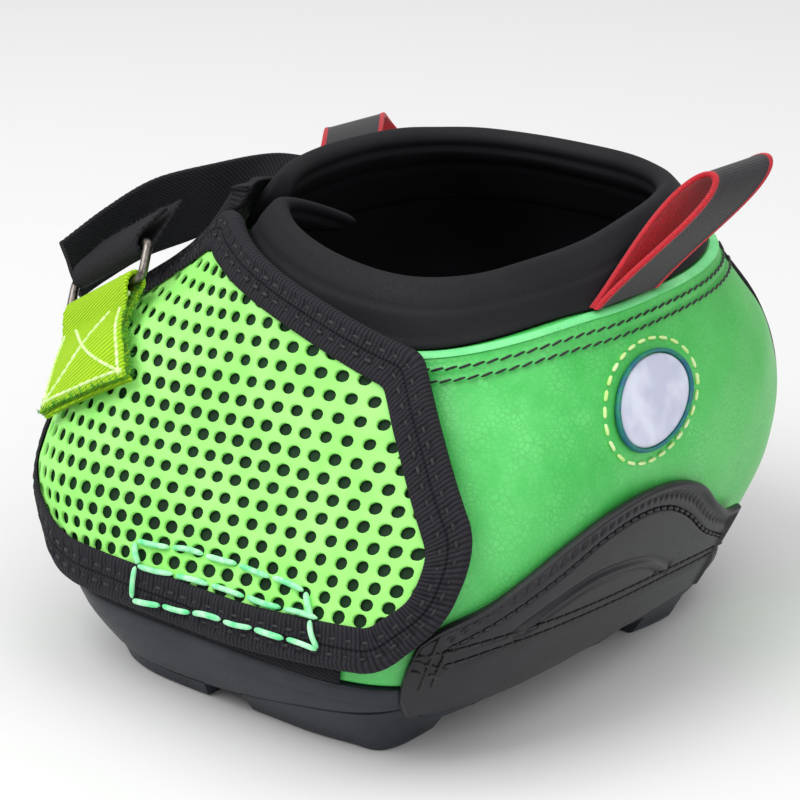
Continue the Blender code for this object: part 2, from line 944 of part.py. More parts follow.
def make_strap():
    fold_low = upper_bar[1] - fold_radius
    line = [(upper_bar[0] + strap_inner_leg, strap_rest_lift)]
    line.append((upper_bar[0] + strap_inner_leg / 2, (strap_rest_lift + fold_low) / 2))
    line += fold_arc(upper_bar, fold_radius, 0, -math.pi)
    outer_rest = strap_rest_lift + web_thickness + layer_gap
    line.append((upper_bar[0] + strap_inner_leg / 2, (outer_rest + fold_low + 2 * fold_radius) / 2))
    line.append((upper_bar[0] + strap_outer_leg, outer_rest + layer_gap))
    return folded_web("closure_strap", line, strap_width, black_tape)


def make_ring():
    half = ring_long / 2
    corners = (
        (-half, lower_bar), (half, lower_bar), (half, upper_bar), (-half, upper_bar),
    )
    places = [flat_point(across, bar[0], bar[1]) for across, bar in corners]
    path = []
    for i in range(4):
        corner, before, after = places[i], places[i - 1], places[(i + 1) % 4]
        enter = corner + (before - corner).normalized() * ring_corner
        leave = corner + (after - corner).normalized() * ring_corner
        for k in range(4):
            t = k / 3
            path.append(enter * (1 - t) ** 2 + corner * (2 * t * (1 - t)) + leave * t**2)
    plane = (places[1] - places[0]).cross(places[3] - places[0]).normalized()
    loops = []
    for i, point in enumerate(path):
        run = (path[(i + 1) % len(path)] - path[i - 1]).normalized()
        across = run.cross(plane)
        loops.append([
            point + (across * math.cos(2 * math.pi * k / ring_sides)
                     + plane * math.sin(2 * math.pi * k / ring_sides)) * ring_wire
            for k in range(ring_sides)
        ])
    return loft("strap_ring", loops, ring_steel, closed_path=True)


put_origin(make_keeper(), fold_line)
put_origin(make_ring(), flat_point(0, lower_bar[0], lower_bar[1]))
put_origin(make_strap(), flat_point(0, upper_bar[0], upper_bar[1]))


# Hook strip, sewn at its rear end, with a free pointed front end
def make_hook_strip():
    rear = level_skin(hook_rear_around, hook_line_height, hook_rear_lift)
    # Shares of the half width, the toe length and the rim height
    middles = [rear] + [Vector((x * upper_width / 2, y * toe_length, z * rim_height))
                        for x, y, z in hook_line_shares]
    slope = (skin(hook_rear_around, hook_line_height + probe_step)
             - skin(hook_rear_around, hook_line_height - probe_step)).normalized()
    upright = Vector((0, 0, 1))
    last_row = len(middles) - 1
    ups = [slope.lerp(upright, min(2 * i / last_row, 1)).normalized() for i in range(len(middles))]
    loops = []
    rows = 4
    for i, middle in enumerate(middles):
        before = middles[max(i - 1, 0)]
        after = middles[min(i + 1, len(middles) - 1)]
        along = (after - before).normalized()
        out = ups[i].cross(along).normalized()
        out = out if out.dot(Vector((middle.x, middle.y, 0))) > 0 else -out
        last = i == len(middles) - 1
        loop = []
        for face in (1, -1):
            for j in range(rows + 1):
                t = (j / rows if face > 0 else 1 - j / rows) - 0.5
                point = middle + ups[i] * (hook_width * t) + out * (hook_thickness / 2 * face)
                if last:
                    point -= along * hook_point * (t + 0.5)
                loop.append(point)
        loops.append(loop)
    piece = loft("hook_strip", loops, black_neoprene)
    put_origin(piece, level_skin(hook_rear_around, hook_line_height, hook_rear_lift + hook_thickness / 2))
    return piece


make_hook_strip()


# Pull tabs
def make_tab(name, side, share, back_lean, lean, droop):
    # lean is the loop's angle outward at its foot, droop the further angle at its tip
    around = side * share * half_girth(hem_rear_height)
    hem = hem_at(around)
    base = level_skin(around, hem, tab_seat_lift) + Vector((0, 0, seat_gap + tab_thickness))
    rear_around = around + side * tab_width
    rear = (level_skin(rear_around, hem_at(rear_around), tab_seat_lift) - level_skin(around, hem, tab_seat_lift))
    rear.normalize()
    normal = skin_normal(around, hem)
    out = Vector((normal.x, normal.y, 0))
    out = (out - rear * out.dot(rear)).normalized()
    up = rear.cross(out)
    up = up if up.z > 0 else -up
    rise_share = 1 / math.hypot(1, back_lean)
    turn = droop / tab_length
    half_gap = (tab_thickness + seat_gap) / 2
    line = []
    steps = 2 * tab_stations
    for k in range(steps + 1):
        angle = 2 * math.pi * k / steps
        reach = tab_length * (1 - math.cos(angle)) / 2
        tilt = lean + turn * reach
        risen = (math.sin(tilt) - math.sin(lean)) / turn
        gone_out = (math.cos(lean) - math.cos(tilt)) / turn
        centre = base + (rear * (back_lean * reach) + up * risen + out * gone_out) * rise_share
        swell = tab_belly * math.sin(angle) * math.sin(angle / 2) ** 2 + half_gap * math.cos(angle / 2)
        line.append(centre + (out * math.cos(tilt) - up * math.sin(tilt)) * swell)
    loops = []
    for i, point in enumerate(line):
        before = line[max(i - 1, 0)]
        after = line[min(i + 1, steps)]
        run = (after - before).normalized()
        offset = run.cross(rear).normalized() * (tab_thickness / 2)
        loops.append([
            point + offset, point + rear * tab_width + offset,
            point + rear * tab_width - offset, point - offset,
        ])
    piece = loft(name, loops, red_ribbon)
    put_origin(piece, base)
    return piece


make_tab("left_pull_tab", 1, near_tab_share, near_tab_back_lean, near_tab_lean, near_tab_droop)
make_tab("right_pull_tab", -1, far_tab_share, far_tab_back_lean, far_tab_lean, far_tab_droop)


# Side badges
def badge_point(side, radius, angle, lift):
    slant = math.sqrt(1 - skin_normal(side * badge_share * half_girth(badge_height), badge_height).z**2)
    height = badge_height + radius * math.sin(angle) * slant
    around = side * badge_share * half_girth(height) + radius * math.cos(angle)
    return skin(around, height, lift)


def make_badge(side, label):
    low = 2 * seat_gap - panel_sink
    high = low + badge_thickness
    steps = [2 * math.pi * k / badge_sides for k in range(badge_sides)]
    rings = [[badge_point(side, badge_disc_radius * share, a, lift) for a in steps]
             for share, lift in ((0.4, low), (1, low), (1, high), (0.4, high))]
    loft(label + "_badge_disc", rings, badge_white)
    inner = badge_disc_radius + seat_gap
    outer = inner + badge_ring_width
    loops = []
    for a in steps:
        loops.append([badge_point(side, inner, a, low), badge_point(side, outer, a, low),
                      badge_point(side, outer, a, high), badge_point(side, inner, a, high)])
    loft(label + "_badge_ring", loops, badge_teal, closed_path=True)


make_badge(1, "left")
make_badge(-1, "right")
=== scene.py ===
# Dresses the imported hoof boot: sewn cloth, perforated shield, moulded rubber, tapes, threads and trims.
# Metres, +Z up, toe towards -Y. "around" is the distance along the wall from the toe, + on the near side.
import math

import bmesh
import bpy
import numpy as np
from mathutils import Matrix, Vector


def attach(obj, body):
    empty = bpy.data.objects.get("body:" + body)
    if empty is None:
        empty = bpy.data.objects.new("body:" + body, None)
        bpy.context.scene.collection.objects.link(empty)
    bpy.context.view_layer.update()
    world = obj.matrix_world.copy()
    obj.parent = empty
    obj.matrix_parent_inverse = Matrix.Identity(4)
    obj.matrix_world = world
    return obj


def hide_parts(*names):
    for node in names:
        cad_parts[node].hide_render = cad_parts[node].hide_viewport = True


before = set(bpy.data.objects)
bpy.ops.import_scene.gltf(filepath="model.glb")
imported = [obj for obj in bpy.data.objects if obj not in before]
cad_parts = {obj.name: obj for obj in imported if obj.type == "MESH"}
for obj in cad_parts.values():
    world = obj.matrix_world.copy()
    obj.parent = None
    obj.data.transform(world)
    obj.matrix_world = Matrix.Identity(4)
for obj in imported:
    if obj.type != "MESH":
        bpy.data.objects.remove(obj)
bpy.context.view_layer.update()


# the boot's wall, as the solids have it
bootForm = {
    "width": 0.161, "toe": 0.092, "heel": 0.102, "rim": 0.120,
    "levels": (  # height, width, toe, heel, middle, toe squareness, heel squareness, taper
        (0.00, 0.755, 0.89, 0.745, 0.055, 5.0, 3.6, 0.14),
        (0.185, 0.905, 1.00, 0.815, 0.055, 5.0, 3.4, 0.06),
        (0.39, 0.995, 0.89, 0.96, 0.088, 5.0, 3.2, 0.04),
        (0.54, 1.00, 0.755, 1.00, 0.108, 4.4, 3.1, 0.04),
        (0.71, 0.93, 0.61, 0.965, 0.142, 3.4, 2.9, 0.03),
        (0.84, 0.83, 0.50, 0.877, 0.167, 2.7, 2.6, 0.00),
        (1.00, 0.70, 0.38, 0.77, 0.196, 2.2, 2.3, 0.00),
    ),
    "probe": 0.0015,
    "panFloor": 0.0100, "panRim": 0.0150, "panWall": 0.0046,
    "toeWallTop": 0.0240, "toeWallHalf": 0.060, "toeWallSlope": 0.0040,
    "hemFront": 0.0975, "hemRear": 0.1050, "hemRiseStart": 0.10, "hemRise": 0.25,
    "pipingShare": 0.745, "panelSink": 0.0010,
}
gap = 0.0003
levelTable = np.array(bootForm["levels"])
rimHeight = bootForm["rim"]


def ease(value, start, run):
    t = np.clip((np.asarray(value, float) - start) / run, 0, 1)
    return t * t * (3 - 2 * t)


def levelColumn(column, height):
    heights = levelTable[:, 0] * rimHeight
    values = levelTable[:, column]
    slopes = np.gradient(values, heights)
    at = float(np.clip(height, heights[0], heights[-1]))
    k = int(np.clip(np.searchsorted(heights, at) - 1, 0, len(heights) - 2))
    span = heights[k + 1] - heights[k]
    t = (at - heights[k]) / span
    low = values[k] * (2 * t**3 - 3 * t**2 + 1) + slopes[k] * span * (t**3 - 2 * t**2 + t)
    return low + values[k + 1] * (3 * t**2 - 2 * t**3) + slopes[k + 1] * span * (t**3 - t**2)


def makeWallTable(rows, columns):
    shares = np.linspace(0, 1, columns)
    xs, ys, girths = [], [], []
    for height in np.linspace(0, rimHeight, rows):
        half = levelColumn(1, height) * bootForm["width"] / 2
        toe = levelColumn(2, height) * bootForm["toe"]
        heel, middle = (levelColumn(c, height) * bootForm["heel"] for c in (3, 4))
        angles = np.linspace(-math.pi / 2, math.pi / 2, columns)
        depth = np.where(angles > 0, heel - middle, toe + middle)
        square = np.where(angles > 0, levelColumn(6, height), levelColumn(5, height))
        radius = ((np.abs(np.cos(angles)) / half) ** square
                  + (np.abs(np.sin(angles)) / depth) ** square) ** (-1 / square)
        x, y = radius * np.cos(angles), radius * np.sin(angles)
        x = x * (1 - levelColumn(7, height) * np.clip(-y / (toe + middle), 0, 1) ** 2)
        y = y + middle
        girth = np.concatenate([[0.0], np.cumsum(np.hypot(np.diff(x), np.diff(y)))])
        girths.append(girth[-1])
        xs.append(np.interp(shares * girth[-1], girth, x))
        ys.append(np.interp(shares * girth[-1], girth, y))
    return np.array(xs), np.array(ys), np.array(girths)


wallX, wallY, wallGirth = makeWallTable(241, 721)


def halfGirth(height):
    rows = len(wallGirth) - 1
    return np.interp(np.asarray(height, float) / rimHeight * rows, np.arange(rows + 1), wallGirth)


def planPoint(around, height):
    around, height = np.broadcast_arrays(np.asarray(around, float), np.asarray(height, float))
    share = np.abs(around) / halfGirth(height)
    side = np.where(around >= 0, 1.0, -1.0)
    side = np.where(share > 1, -side, side)
    share = np.where(share > 1, 2 - share, share)
    row = np.clip(height / rimHeight, 0, 1) * (wallX.shape[0] - 1)
    column = np.clip(share, 0, 1) * (wallX.shape[1] - 1)
    i = np.minimum(row.astype(int), wallX.shape[0] - 2)
    j = np.minimum(column.astype(int), wallX.shape[1] - 2)
    u, v = row - i, column - j

    def look(table):
        return (table[i, j] * (1 - u) * (1 - v) + table[i + 1, j] * u * (1 - v)
                + table[i, j + 1] * (1 - u) * v + table[i + 1, j + 1] * u * v)

    return np.stack([side * look(wallX), look(wallY), height], -1)


def unit(vectors):
    return vectors / np.maximum(np.linalg.norm(vectors, axis=-1, keepdims=True), 1e-12)


def wallNormal(around, height):
    around, height = np.broadcast_arrays(np.asarray(around, float), np.asarray(height, float))
    probe = bootForm["probe"]
    middle = np.clip(height, probe, rimHeight - probe)
    share = around / halfGirth(height)
    sideways = planPoint(around + probe, middle) - planPoint(around - probe, middle)
    upward = (planPoint(share * halfGirth(middle + probe), middle + probe)
              - planPoint(share * halfGirth(middle - probe), middle - probe))
    return unit(np.cross(sideways, upward))


def wall(around, height, lift=0.0):
    return planPoint(around, height) + wallNormal(around, height) * np.asarray(lift, float)[..., None]


def levelWall(around, height, lift=0.0):
    flat = wallNormal(around, height) * np.array([1.0, 1.0, 0.0])
    return planPoint(around, height) + unit(flat) * np.asarray(lift, float)[..., None]


shieldForm = {
    "corners": ((0.014, 0.0268), (0.0555, 0.0300), (0.0675, 0.0420), (0.0700, 0.0580), (0.0365, 0.0975),
                (-0.048, 0.1165), (-0.090, 0.066), (-0.084, 0.046), (-0.058, 0.0272)),
    "cuts": (0.010, 0.005, 0.006, 0.009, 0.0035, 0.010, 0.009, 0.009, 0.014),
    "lift": 0.0016, "tape": 0.0011, "tapeWidth": 0.0096, "nest": 0.0004, "pad": 0.0013, "face": 0.0010,
    "leastCut": 0.0020, "fullness": 0.0065,
}


def shieldWall(around, height, lift=0.0):
    full = ease(-np.asarray(around), 0.012, 0.040) * ease(height, 0.029,
                                                          0.020) * (1 - ease(height, 0.074, 0.034))
    return wall(around, height, lift + shieldForm["fullness"] * full)


def rimAt(around):
    beyond = ease(np.abs(around), bootForm["toeWallHalf"], bootForm["toeWallSlope"])
    return bootForm["toeWallTop"] + (bootForm["panRim"] - bootForm["toeWallTop"]) * beyond


def hemAt(around):
    share = np.minimum(np.abs(around) / halfGirth(bootForm["hemFront"]), 1)
    rise = ease(share, bootForm["hemRiseStart"], bootForm["hemRise"])
    return bootForm["hemFront"] + (bootForm["hemRear"] - bootForm["hemFront"]) * rise


# mesh building
def finishMesh(name, vertices, faces, material, uvs=None, uvFaces=None, sharp=None, outward=True):
    mesh = bpy.data.meshes.new(name)
    vertices = np.asarray(vertices, float)
    mesh.from_pydata(vertices.tolist(), [], [tuple(int(k) for k in f) for f in faces])
    if uvs is not None:
        layer = mesh.uv_layers.new(name="cloth")
        order = uvFaces if uvFaces is not None else faces
        flat = np.concatenate([np.asarray(uvs)[list(f)] for f in order])
        layer.data.foreach_set("uv", flat.astype(np.float32).ravel())
    if outward:
        work = bmesh.new()
        work.from_mesh(mesh)
        bmesh.ops.recalc_face_normals(work, faces=work.faces)
        work.to_mesh(mesh)
        work.free()
    mesh.materials.append(material)
    mesh.shade_smooth()
    if sharp:
        mesh.set_sharp_from_angle(angle=math.radians(sharp))
    piece = bpy.data.objects.new(name, mesh)
    bpy.context.collection.objects.link(piece)
    return piece


def dress(piece, body, slot, *replaced):
    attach(piece, body)
    if replaced:
        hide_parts(*replaced)
    return piece


def shellPiece(name, outer, inner, material, uv, sharp=None):
    # outer and inner are grids of points; the four rims are closed between them
    n, m = outer.shape[:2]
    vertices = np.concatenate([outer.reshape(-1, 3), inner.reshape(-1, 3)])
    uvs = np.concatenate([uv.reshape(-1, 2), uv.reshape(-1, 2)])
    a = (np.arange(n - 1)[:, None] * m + np.arange(m - 1)[None, :]).ravel()
    top = np.stack([a, a + 1, a + m + 1, a + m], 1)
    base = n * m
    faces = [top, top[:, ::-1] + base]
    for j in (0, m - 1):
        e = np.arange(n - 1) * m + j
        faces.append(np.stack([e, e + m, e + m + base, e + base], 1))
    for i in (0, n - 1):
        e = i * m + np.arange(m - 1)
        faces.append(np.stack([e, e + 1, e + 1 + base, e + base], 1))
    return finishMesh(name, vertices, np.concatenate(faces), material, uvs, sharp=sharp)


def loftPiece(name, loops, material, along=None, across=None, closedPath=False, caps=True, sharp=None):
    # loops is a grid of points: every row is one closed ring of the section
    n, m = loops.shape[:2]
    if along is None:
        middle = loops.mean(1)
        along = np.concatenate([[0.0], np.cumsum(np.linalg.norm(np.diff(np.vstack([middle, middle[:1]]),
                                                                        axis=0), axis=1))])
    if across is None:
        ring = loops[n // 2]
        across = np.concatenate([[0.0], np.cumsum(np.linalg.norm(np.diff(np.vstack([ring, ring[:1]]),
                                                                         axis=0), axis=1))])
    last = n if closedPath else n - 1
    i = np.repeat(np.arange(last), m)
    j = np.tile(np.arange(m), last)
    k = (j + 1) % m
    i2 = (i + 1) % n
    faces = np.stack([i * m + j, i * m + k, i2 * m + k, i2 * m + j], 1).tolist()
    wide = m + 1
    uvFaces = np.stack([i * wide + j, i * wide + j + 1, (i + 1) * wide + j + 1, (i + 1) * wide + j],
                       1).tolist()
    if len(along) < last + 1:
        along = np.append(along, 2 * along[-1] - along[-2])
    uvs = np.stack(np.meshgrid(along[:last + 1], across[:wide], indexing="ij"), -1).reshape(-1, 2)
    if caps and not closedPath:
        faces += [list(range(m)), [(n - 1) * m + q for q in range(m)]]
        uvFaces += [list(range(m)), [(n - 1) * wide + q for q in range(m)]]
    return finishMesh(name, loops.reshape(-1, 3), faces, material, uvs, uvFaces, sharp)


def softShares(length, rounding, count, turns=5):
    # shares from 0 to 1 with close steps inside the rounding at both ends
    edge = rounding * (1 - np.cos(np.linspace(0, math.pi / 2, turns + 1)))
    middle = np.linspace(rounding, length - rounding, count)[1:-1]
    return np.concatenate([edge, middle, (length - edge)[::-1]]) / length


def edgeDistance(grid):
    # how far each point of a grid of places lies from the grid's four edges
    down = np.cumsum(np.linalg.norm(np.diff(grid, axis=0, prepend=grid[:1]), axis=2), axis=0)
    over = np.cumsum(np.linalg.norm(np.diff(grid, axis=1, prepend=grid[:, :1]), axis=2), axis=1)
    return down, down[-1:] - down, over, over[:, -1:] - over


def roundedShell(name, around, height, surface, low, high, rounding, material, relief=0.0, sharp=None):
    base = surface(around, height, np.zeros(around.shape))
    edges = edgeDistance(base)
    nearest = np.minimum.reduce(edges)
    t = np.clip(nearest / rounding, 0, 1)
    swell = 0.04 + 0.96 * np.sqrt(np.clip(1 - (1 - t) ** 2, 0, 1))
    middle, half = (low + high) / 2, (high - low) / 2
    if callable(relief):
        relief = relief(around, height, edges)
    outer = surface(around, height, middle + half * swell + relief * np.clip(t * 2, 0, 1))
    inner = surface(around, height, middle - half * swell)
    return shellPiece(name, outer, inner, material, np.stack([around, height], -1), sharp)


def tubeLoops(points, radius, sides, turn=0.0):
    points = np.asarray(points, float)
    run = unit(np.gradient(points, axis=0))
    across = unit(np.cross(run, np.array([0.0, 0.0, 1.0]) + 1e-6))
    other = np.cross(run, across)
    angles = np.linspace(0, 2 * math.pi, sides, endpoint=False) + turn
    radius = np.broadcast_to(radius, (len(points),))[:, None, None]
    return points[:, None] + (across[:, None] * np.cos(angles)[None, :, None]
                              + other[:, None] * np.sin(angles)[None, :, None]) * radius


def smoothLine(points, count):
    # a rounded line through the given places
    points = np.asarray(points, float)
    lengths = np.concatenate([[0], np.cumsum(np.linalg.norm(np.diff(points, axis=0), axis=1))])
    t = np.linspace(0, lengths[-1], count)
    slopes = np.gradient(points, lengths, axis=0)
    k = np.clip(np.searchsorted(lengths, t, side="right") - 1, 0, len(points) - 2)
    span = (lengths[k + 1] - lengths[k])[:, None]
    u = (t[:, None] - lengths[k][:, None]) / span
    return (points[k] * (2 * u**3 - 3 * u**2 + 1) + slopes[k] * span * (u**3 - 2 * u**2 + u)
            + points[k + 1] * (3 * u**2 - 2 * u**3) + slopes[k + 1] * span * (u**3 - u**2))


# finishes
class Wire:
    # a socket that takes part in sums, so a pattern reads as an expression
    def __init__(self, finish, socket):
        self.finish = finish
        self.socket = socket

    def __add__(self, other):
        return self.finish.maths("ADD", self, other)

    __radd__ = __add__

    def __sub__(self, other):
        return self.finish.maths("SUBTRACT", self, other)

    def __rsub__(self, other):
        return self.finish.maths("SUBTRACT", other, self)

    def __mul__(self, other):
        return self.finish.maths("MULTIPLY", self, other)

    __rmul__ = __mul__

    def __truediv__(self, other):
        return self.finish.maths("DIVIDE", self, other)

    def __pow__(self, other):
        return self.finish.maths("POWER", self, other)


class Finish:
    def __init__(self, name, roughness=0.5, metallic=0.0, **sockets):
        self.material = bpy.data.materials.new(name)
        self.material.use_nodes = True
        self.tree = self.material.node_tree
        self.shader = self.tree.nodes["Principled BSDF"]
        self.shader.inputs["Roughness"].default_value = roughness
        self.shader.inputs["Metallic"].default_value = metallic
        for key, value in sockets.items():
            self.shader.inputs[key.replace("_", " ")].default_value = value

    def feed(self, socket, value):
        if isinstance(value, Wire):
            self.tree.links.new(value.socket, socket)
        else:
            socket.default_value = value

    def node(self, kind, sockets=None, output=0, **settings):
        made = self.tree.nodes.new(kind)
        for key, value in settings.items():
            setattr(made, key, value)
        for key, value in (sockets or {}).items():
            self.feed(made.inputs[key], value)
        return Wire(self, made.outputs[output])

    def maths(self, operation, *values, clamp=False):
        return self.node("ShaderNodeMath", dict(enumerate(values)), operation=operation, use_clamp=clamp)

    def mix(self, factor, low, high):
        return self.node("ShaderNodeMix", {0: factor, 6: low, 7: high}, 2, data_type="RGBA")

    def place(self, stretch=(1.0, 1.0, 1.0)):
        spot = self.node("ShaderNodeTexCoord", output="Object")
        return self.node("ShaderNodeMapping", {"Vector": spot, "Scale": stretch})

    def cloth(self):
        spot = self.node("ShaderNodeUVMap", uv_map="cloth")
        split = self.node("ShaderNodeSeparateXYZ", {0: spot})
        return split, Wire(self, split.socket.node.outputs[1])

    def noise(self, where, size, detail=2.0, roughness=0.5):
        return self.node("ShaderNodeTexNoise", {"Vector": where, "Scale": 1 / size, "Detail": detail,
                                                "Roughness": roughness})

    def cells(self, where, size, feature="DISTANCE_TO_EDGE"):
        return self.node("ShaderNodeTexVoronoi", {"Vector": where, "Scale": 1 / size}, feature=feature)

    def span(self, value, low, high, start=0.0, end=1.0):
        return self.node("ShaderNodeMapRange", {0: value, 1: low, 2: high, 3: start, 4: end}, clamp=True)

    def ribs(self, value, pitch):
        # a rounded ridge for every pitch: 0 in the valley, 1 on the crest
        return self.maths("ABSOLUTE", self.maths("SINE", value * (math.pi / pitch)))

    def colour(self, value):
        self.feed(self.shader.inputs["Base Color"], value)
        return self

    def rough(self, value):
        self.feed(self.shader.inputs["Roughness"], value)
        return self

    def bump(self, height, distance, strength=1.0):
        # the height is in parts of the distance, in metres
        normal = self.node("ShaderNodeBump", {"Height": height, "Distance": distance, "Strength": strength})
        self.tree.links.new(normal.socket, self.shader.inputs["Normal"])
        return self


def rgb(r, g, b):
    def line(v):
        v /= 255
        return v / 12.92 if v <= 0.04045 else ((v + 0.055) / 1.055) ** 2.4
    return (line(r), line(g), line(b), 1.0)


def makeLeather():
    f = Finish("pearlGreenLeather", 0.42, 0.0, Coat_Weight=0.12, Coat_Roughness=0.35,
               Specular_IOR_Level=0.5)
    where = f.place((1.0, 1.0, 1.1))
    broad = f.noise(where, 0.030, 3.0, 0.55)
    mottle = f.noise(f.place((1.0, 1.0, 0.7)), 0.0075, 5.0, 0.62)
    grain = f.cells(where, 0.0017)
    crease = f.span(grain, 0.0, 0.16)
    small = f.span(f.cells(where, 0.0008), 0.0, 0.2)
    fine = f.noise(where, 0.0005, 2.0)
    rise = f.node("ShaderNodeSeparateXYZ", {0: f.place()})
    # painted shade: rear is a mask that mixes the leather darker towards the rear, where less light falls
    rear = f.span(Wire(f, rise.socket.node.outputs[1]), -0.030, 0.075)
    # painted highlight: low is a mask that mixes the leather paler towards the bottom, where more light
    # falls
    low = f.span(Wire(f, rise.socket.node.outputs[2]), 0.090, 0.045)
    tone = f.span(broad * 0.55 + mottle * 0.45, 0.36, 0.62)
    body = f.mix(tone, rgb(56, 190, 78), rgb(98, 216, 112))
    body = f.mix(rear * 0.55, body, rgb(66, 172, 68))
    body = f.mix(low * 0.30, body, rgb(112, 222, 122))
    # painted shade: the grain creases are mixed darker, more strongly where a slow noise rises
    creaseShade = f.span(mottle + f.noise(where, 0.012, 2.0) * 0.5, 0.70, 0.86)
    body = f.mix((1.0 - crease) * (0.10 + creaseShade * 0.20), body, rgb(30, 138, 52))
    f.colour(body).rough(f.span(fine, 0.3, 0.7, 0.34, 0.48))
    f.bump(crease * 0.32 + small * 0.15 + fine * 0.15 + mottle * 1.1, 0.00017, 0.55)
    return f.material


def makeLime():
    f = Finish("limeSheet", 0.5, 0.0, Specular_IOR_Level=0.35)
    where = f.place()
    tone = f.noise(where, 0.012, 3.0)
    fine = f.noise(where, 0.0005, 2.0)
    f.colour(f.mix(f.span(tone, 0.35, 0.65), rgb(152, 240, 114), rgb(168, 248, 130)))
    f.rough(f.span(fine, 0.3, 0.7, 0.46, 0.58)).bump(fine, 0.00012, 0.5)
    return f.material


def makeNeoprene(name, low, high, knit=0.0006):
    f = Finish(name, 0.72, 0.0, Specular_IOR_Level=0.32)
    weave = f.noise(f.place((1.0, 1.0, 2.0)), knit, 2.0, 0.6)
    tone = f.noise(f.place(), 0.022, 3.0)
    f.colour(f.mix(f.span(tone * 0.6 + weave * 0.4, 0.36, 0.64), low, high))
    f.rough(f.span(weave, 0.3, 0.7, 0.62, 0.78)).bump(weave, 0.00009, 0.5)
    return f.material


def makeTape(name, low, high, pitch, axis=0, twill=0.0):
    # ribs run across the tape: axis 0 counts them along the piece's first direction
    f = Finish(name, 0.75, 0.0, Specular_IOR_Level=0.28)
    u, v = f.cloth()
    along, over = (u, v) if axis == 0 else (v, u)
    fuzz = f.noise(f.place(), 0.0007, 3.0, 0.65)
    ridge = f.ribs(along + over * twill + fuzz * (pitch * 0.25), pitch)
    yarns = f.ribs(over, pitch * 0.45)
    tone = f.noise(f.place(), 0.006, 2.0)
    # painted shade in the rib valleys: the colour runs darker between the ribs, mixed with random fuzz and
    # tone
    ribShadeAndTone = ridge * 0.75 + fuzz * 0.5 + tone * 0.2
    f.colour(f.mix(f.span(ribShadeAndTone, 0.3, 1.15), low, high))
    f.rough(f.span(fuzz, 0.3, 0.7, 0.68, 0.9)).bump(ridge + yarns * 0.22 + fuzz * 0.5, pitch * 0.28, 0.8)
    return f.material


def makeRubber(name, low, high, roughness, grain, depth):
    f = Finish(name, roughness, 0.0, Specular_IOR_Level=0.45)
    where = f.place()
    skin = f.noise(where, grain, 3.0, 0.6)
    broad = f.noise(where, 0.014, 3.0)
    scuff = f.span(f.noise(f.place((1.0, 1.0, 3.0)), 0.005, 5.0, 0.7), 0.56, 0.72)
    f.colour(f.mix(f.span(broad * 0.7 + skin * 0.3, 0.36, 0.64), low, high))
    f.rough(f.span(skin, 0.3, 0.7, roughness - 0.07, roughness + 0.08) + scuff * 0.07)
    f.bump(skin + broad * 1.2, depth, 0.6)
    return f.material


def makeThread(name, low, high, roughness=0.55):
    f = Finish(name, roughness, 0.0, Sheen_Weight=0.1)
    where = f.place()
    twist = f.noise(where, 0.0009, 2.0)
    tone = f.noise(where, 0.004, 2.0)
    f.colour(f.mix(f.span(tone * 0.65 + twist * 0.35, 0.38, 0.62), low, high))
    f.bump(twist, 0.00025, 0.7)
    return f.material


def makeRibbon():
    # red inside and along the selvedges, black outside: the outside attribute is 1 on the black face
    f = Finish("redBlackRibbon", 0.66, 0.0, Sheen_Weight=0.2, Specular_IOR_Level=0.35)
    outside = f.node("ShaderNodeAttribute", {}, 2, attribute_name="blackFace")
    u = f.cloth()[0]
    fuzz = f.noise(f.place(), 0.0006, 3.0, 0.65)
    ridge = f.ribs(u + fuzz * 0.0002, 0.0008)
    red = f.mix(f.span(fuzz, 0.35, 0.65), rgb(158, 8, 26), rgb(212, 18, 38))
    # painted shade: on the black face the rib valleys are mixed a little darker, with random fuzz
    black = f.mix(f.span(fuzz + ridge * 0.3, 0.35, 0.9), rgb(22, 20, 24), rgb(46, 42, 46))
    f.colour(f.mix(f.span(outside + (fuzz - 0.5) * 0.25, 0.42, 0.58), red, black))
    f.rough(f.span(fuzz, 0.3, 0.7, 0.55, 0.8)).bump(ridge * 0.6 + fuzz, 0.0002, 0.8)
    return f.material


def makeWire():
    f = Finish("darkWire", 0.28, 1.0)
    where = f.place()
    stain = f.noise(where, 0.004, 4.0, 0.6)
    f.colour(f.mix(f.span(stain, 0.4, 0.6), rgb(70, 62, 56), rgb(140, 134, 128)))
    f.rough(f.span(stain, 0.3, 0.7, 0.2, 0.42)).bump(f.noise(where, 0.0008, 2.0), 0.00006, 0.5)
    return f.material


def makeBadgeWhite():
    f = Finish("pearlDisc", 0.3, 0.0, Coat_Weight=0.2, Specular_IOR_Level=0.5)
    weave = f.cells(f.place(), 0.0007)
    sheen = f.noise(f.place(), 0.010, 2.0)
    f.colour(f.mix(f.span(sheen, 0.38, 0.62), rgb(202, 205, 228), rgb(226, 230, 246)))
    f.rough(f.span(weave, 0.0, 0.5, 0.36, 0.26)).bump(weave, 0.00010, 0.6)
    return f.material


def makeBadgeTeal():
    f = Finish("tealRing", 0.4, 0.0)
    where = f.place()
    streak = f.noise(where, 0.0035, 3.0, 0.6)
    fibre = f.noise(where, 0.0006, 2.0)
    f.colour(f.mix(f.span(streak, 0.38, 0.62), rgb(20, 132, 100), rgb(24, 98, 128)))
    f.rough(f.span(fibre, 0.3, 0.7, 0.34, 0.5)).bump(fibre, 0.0002, 0.7)
    return f.material


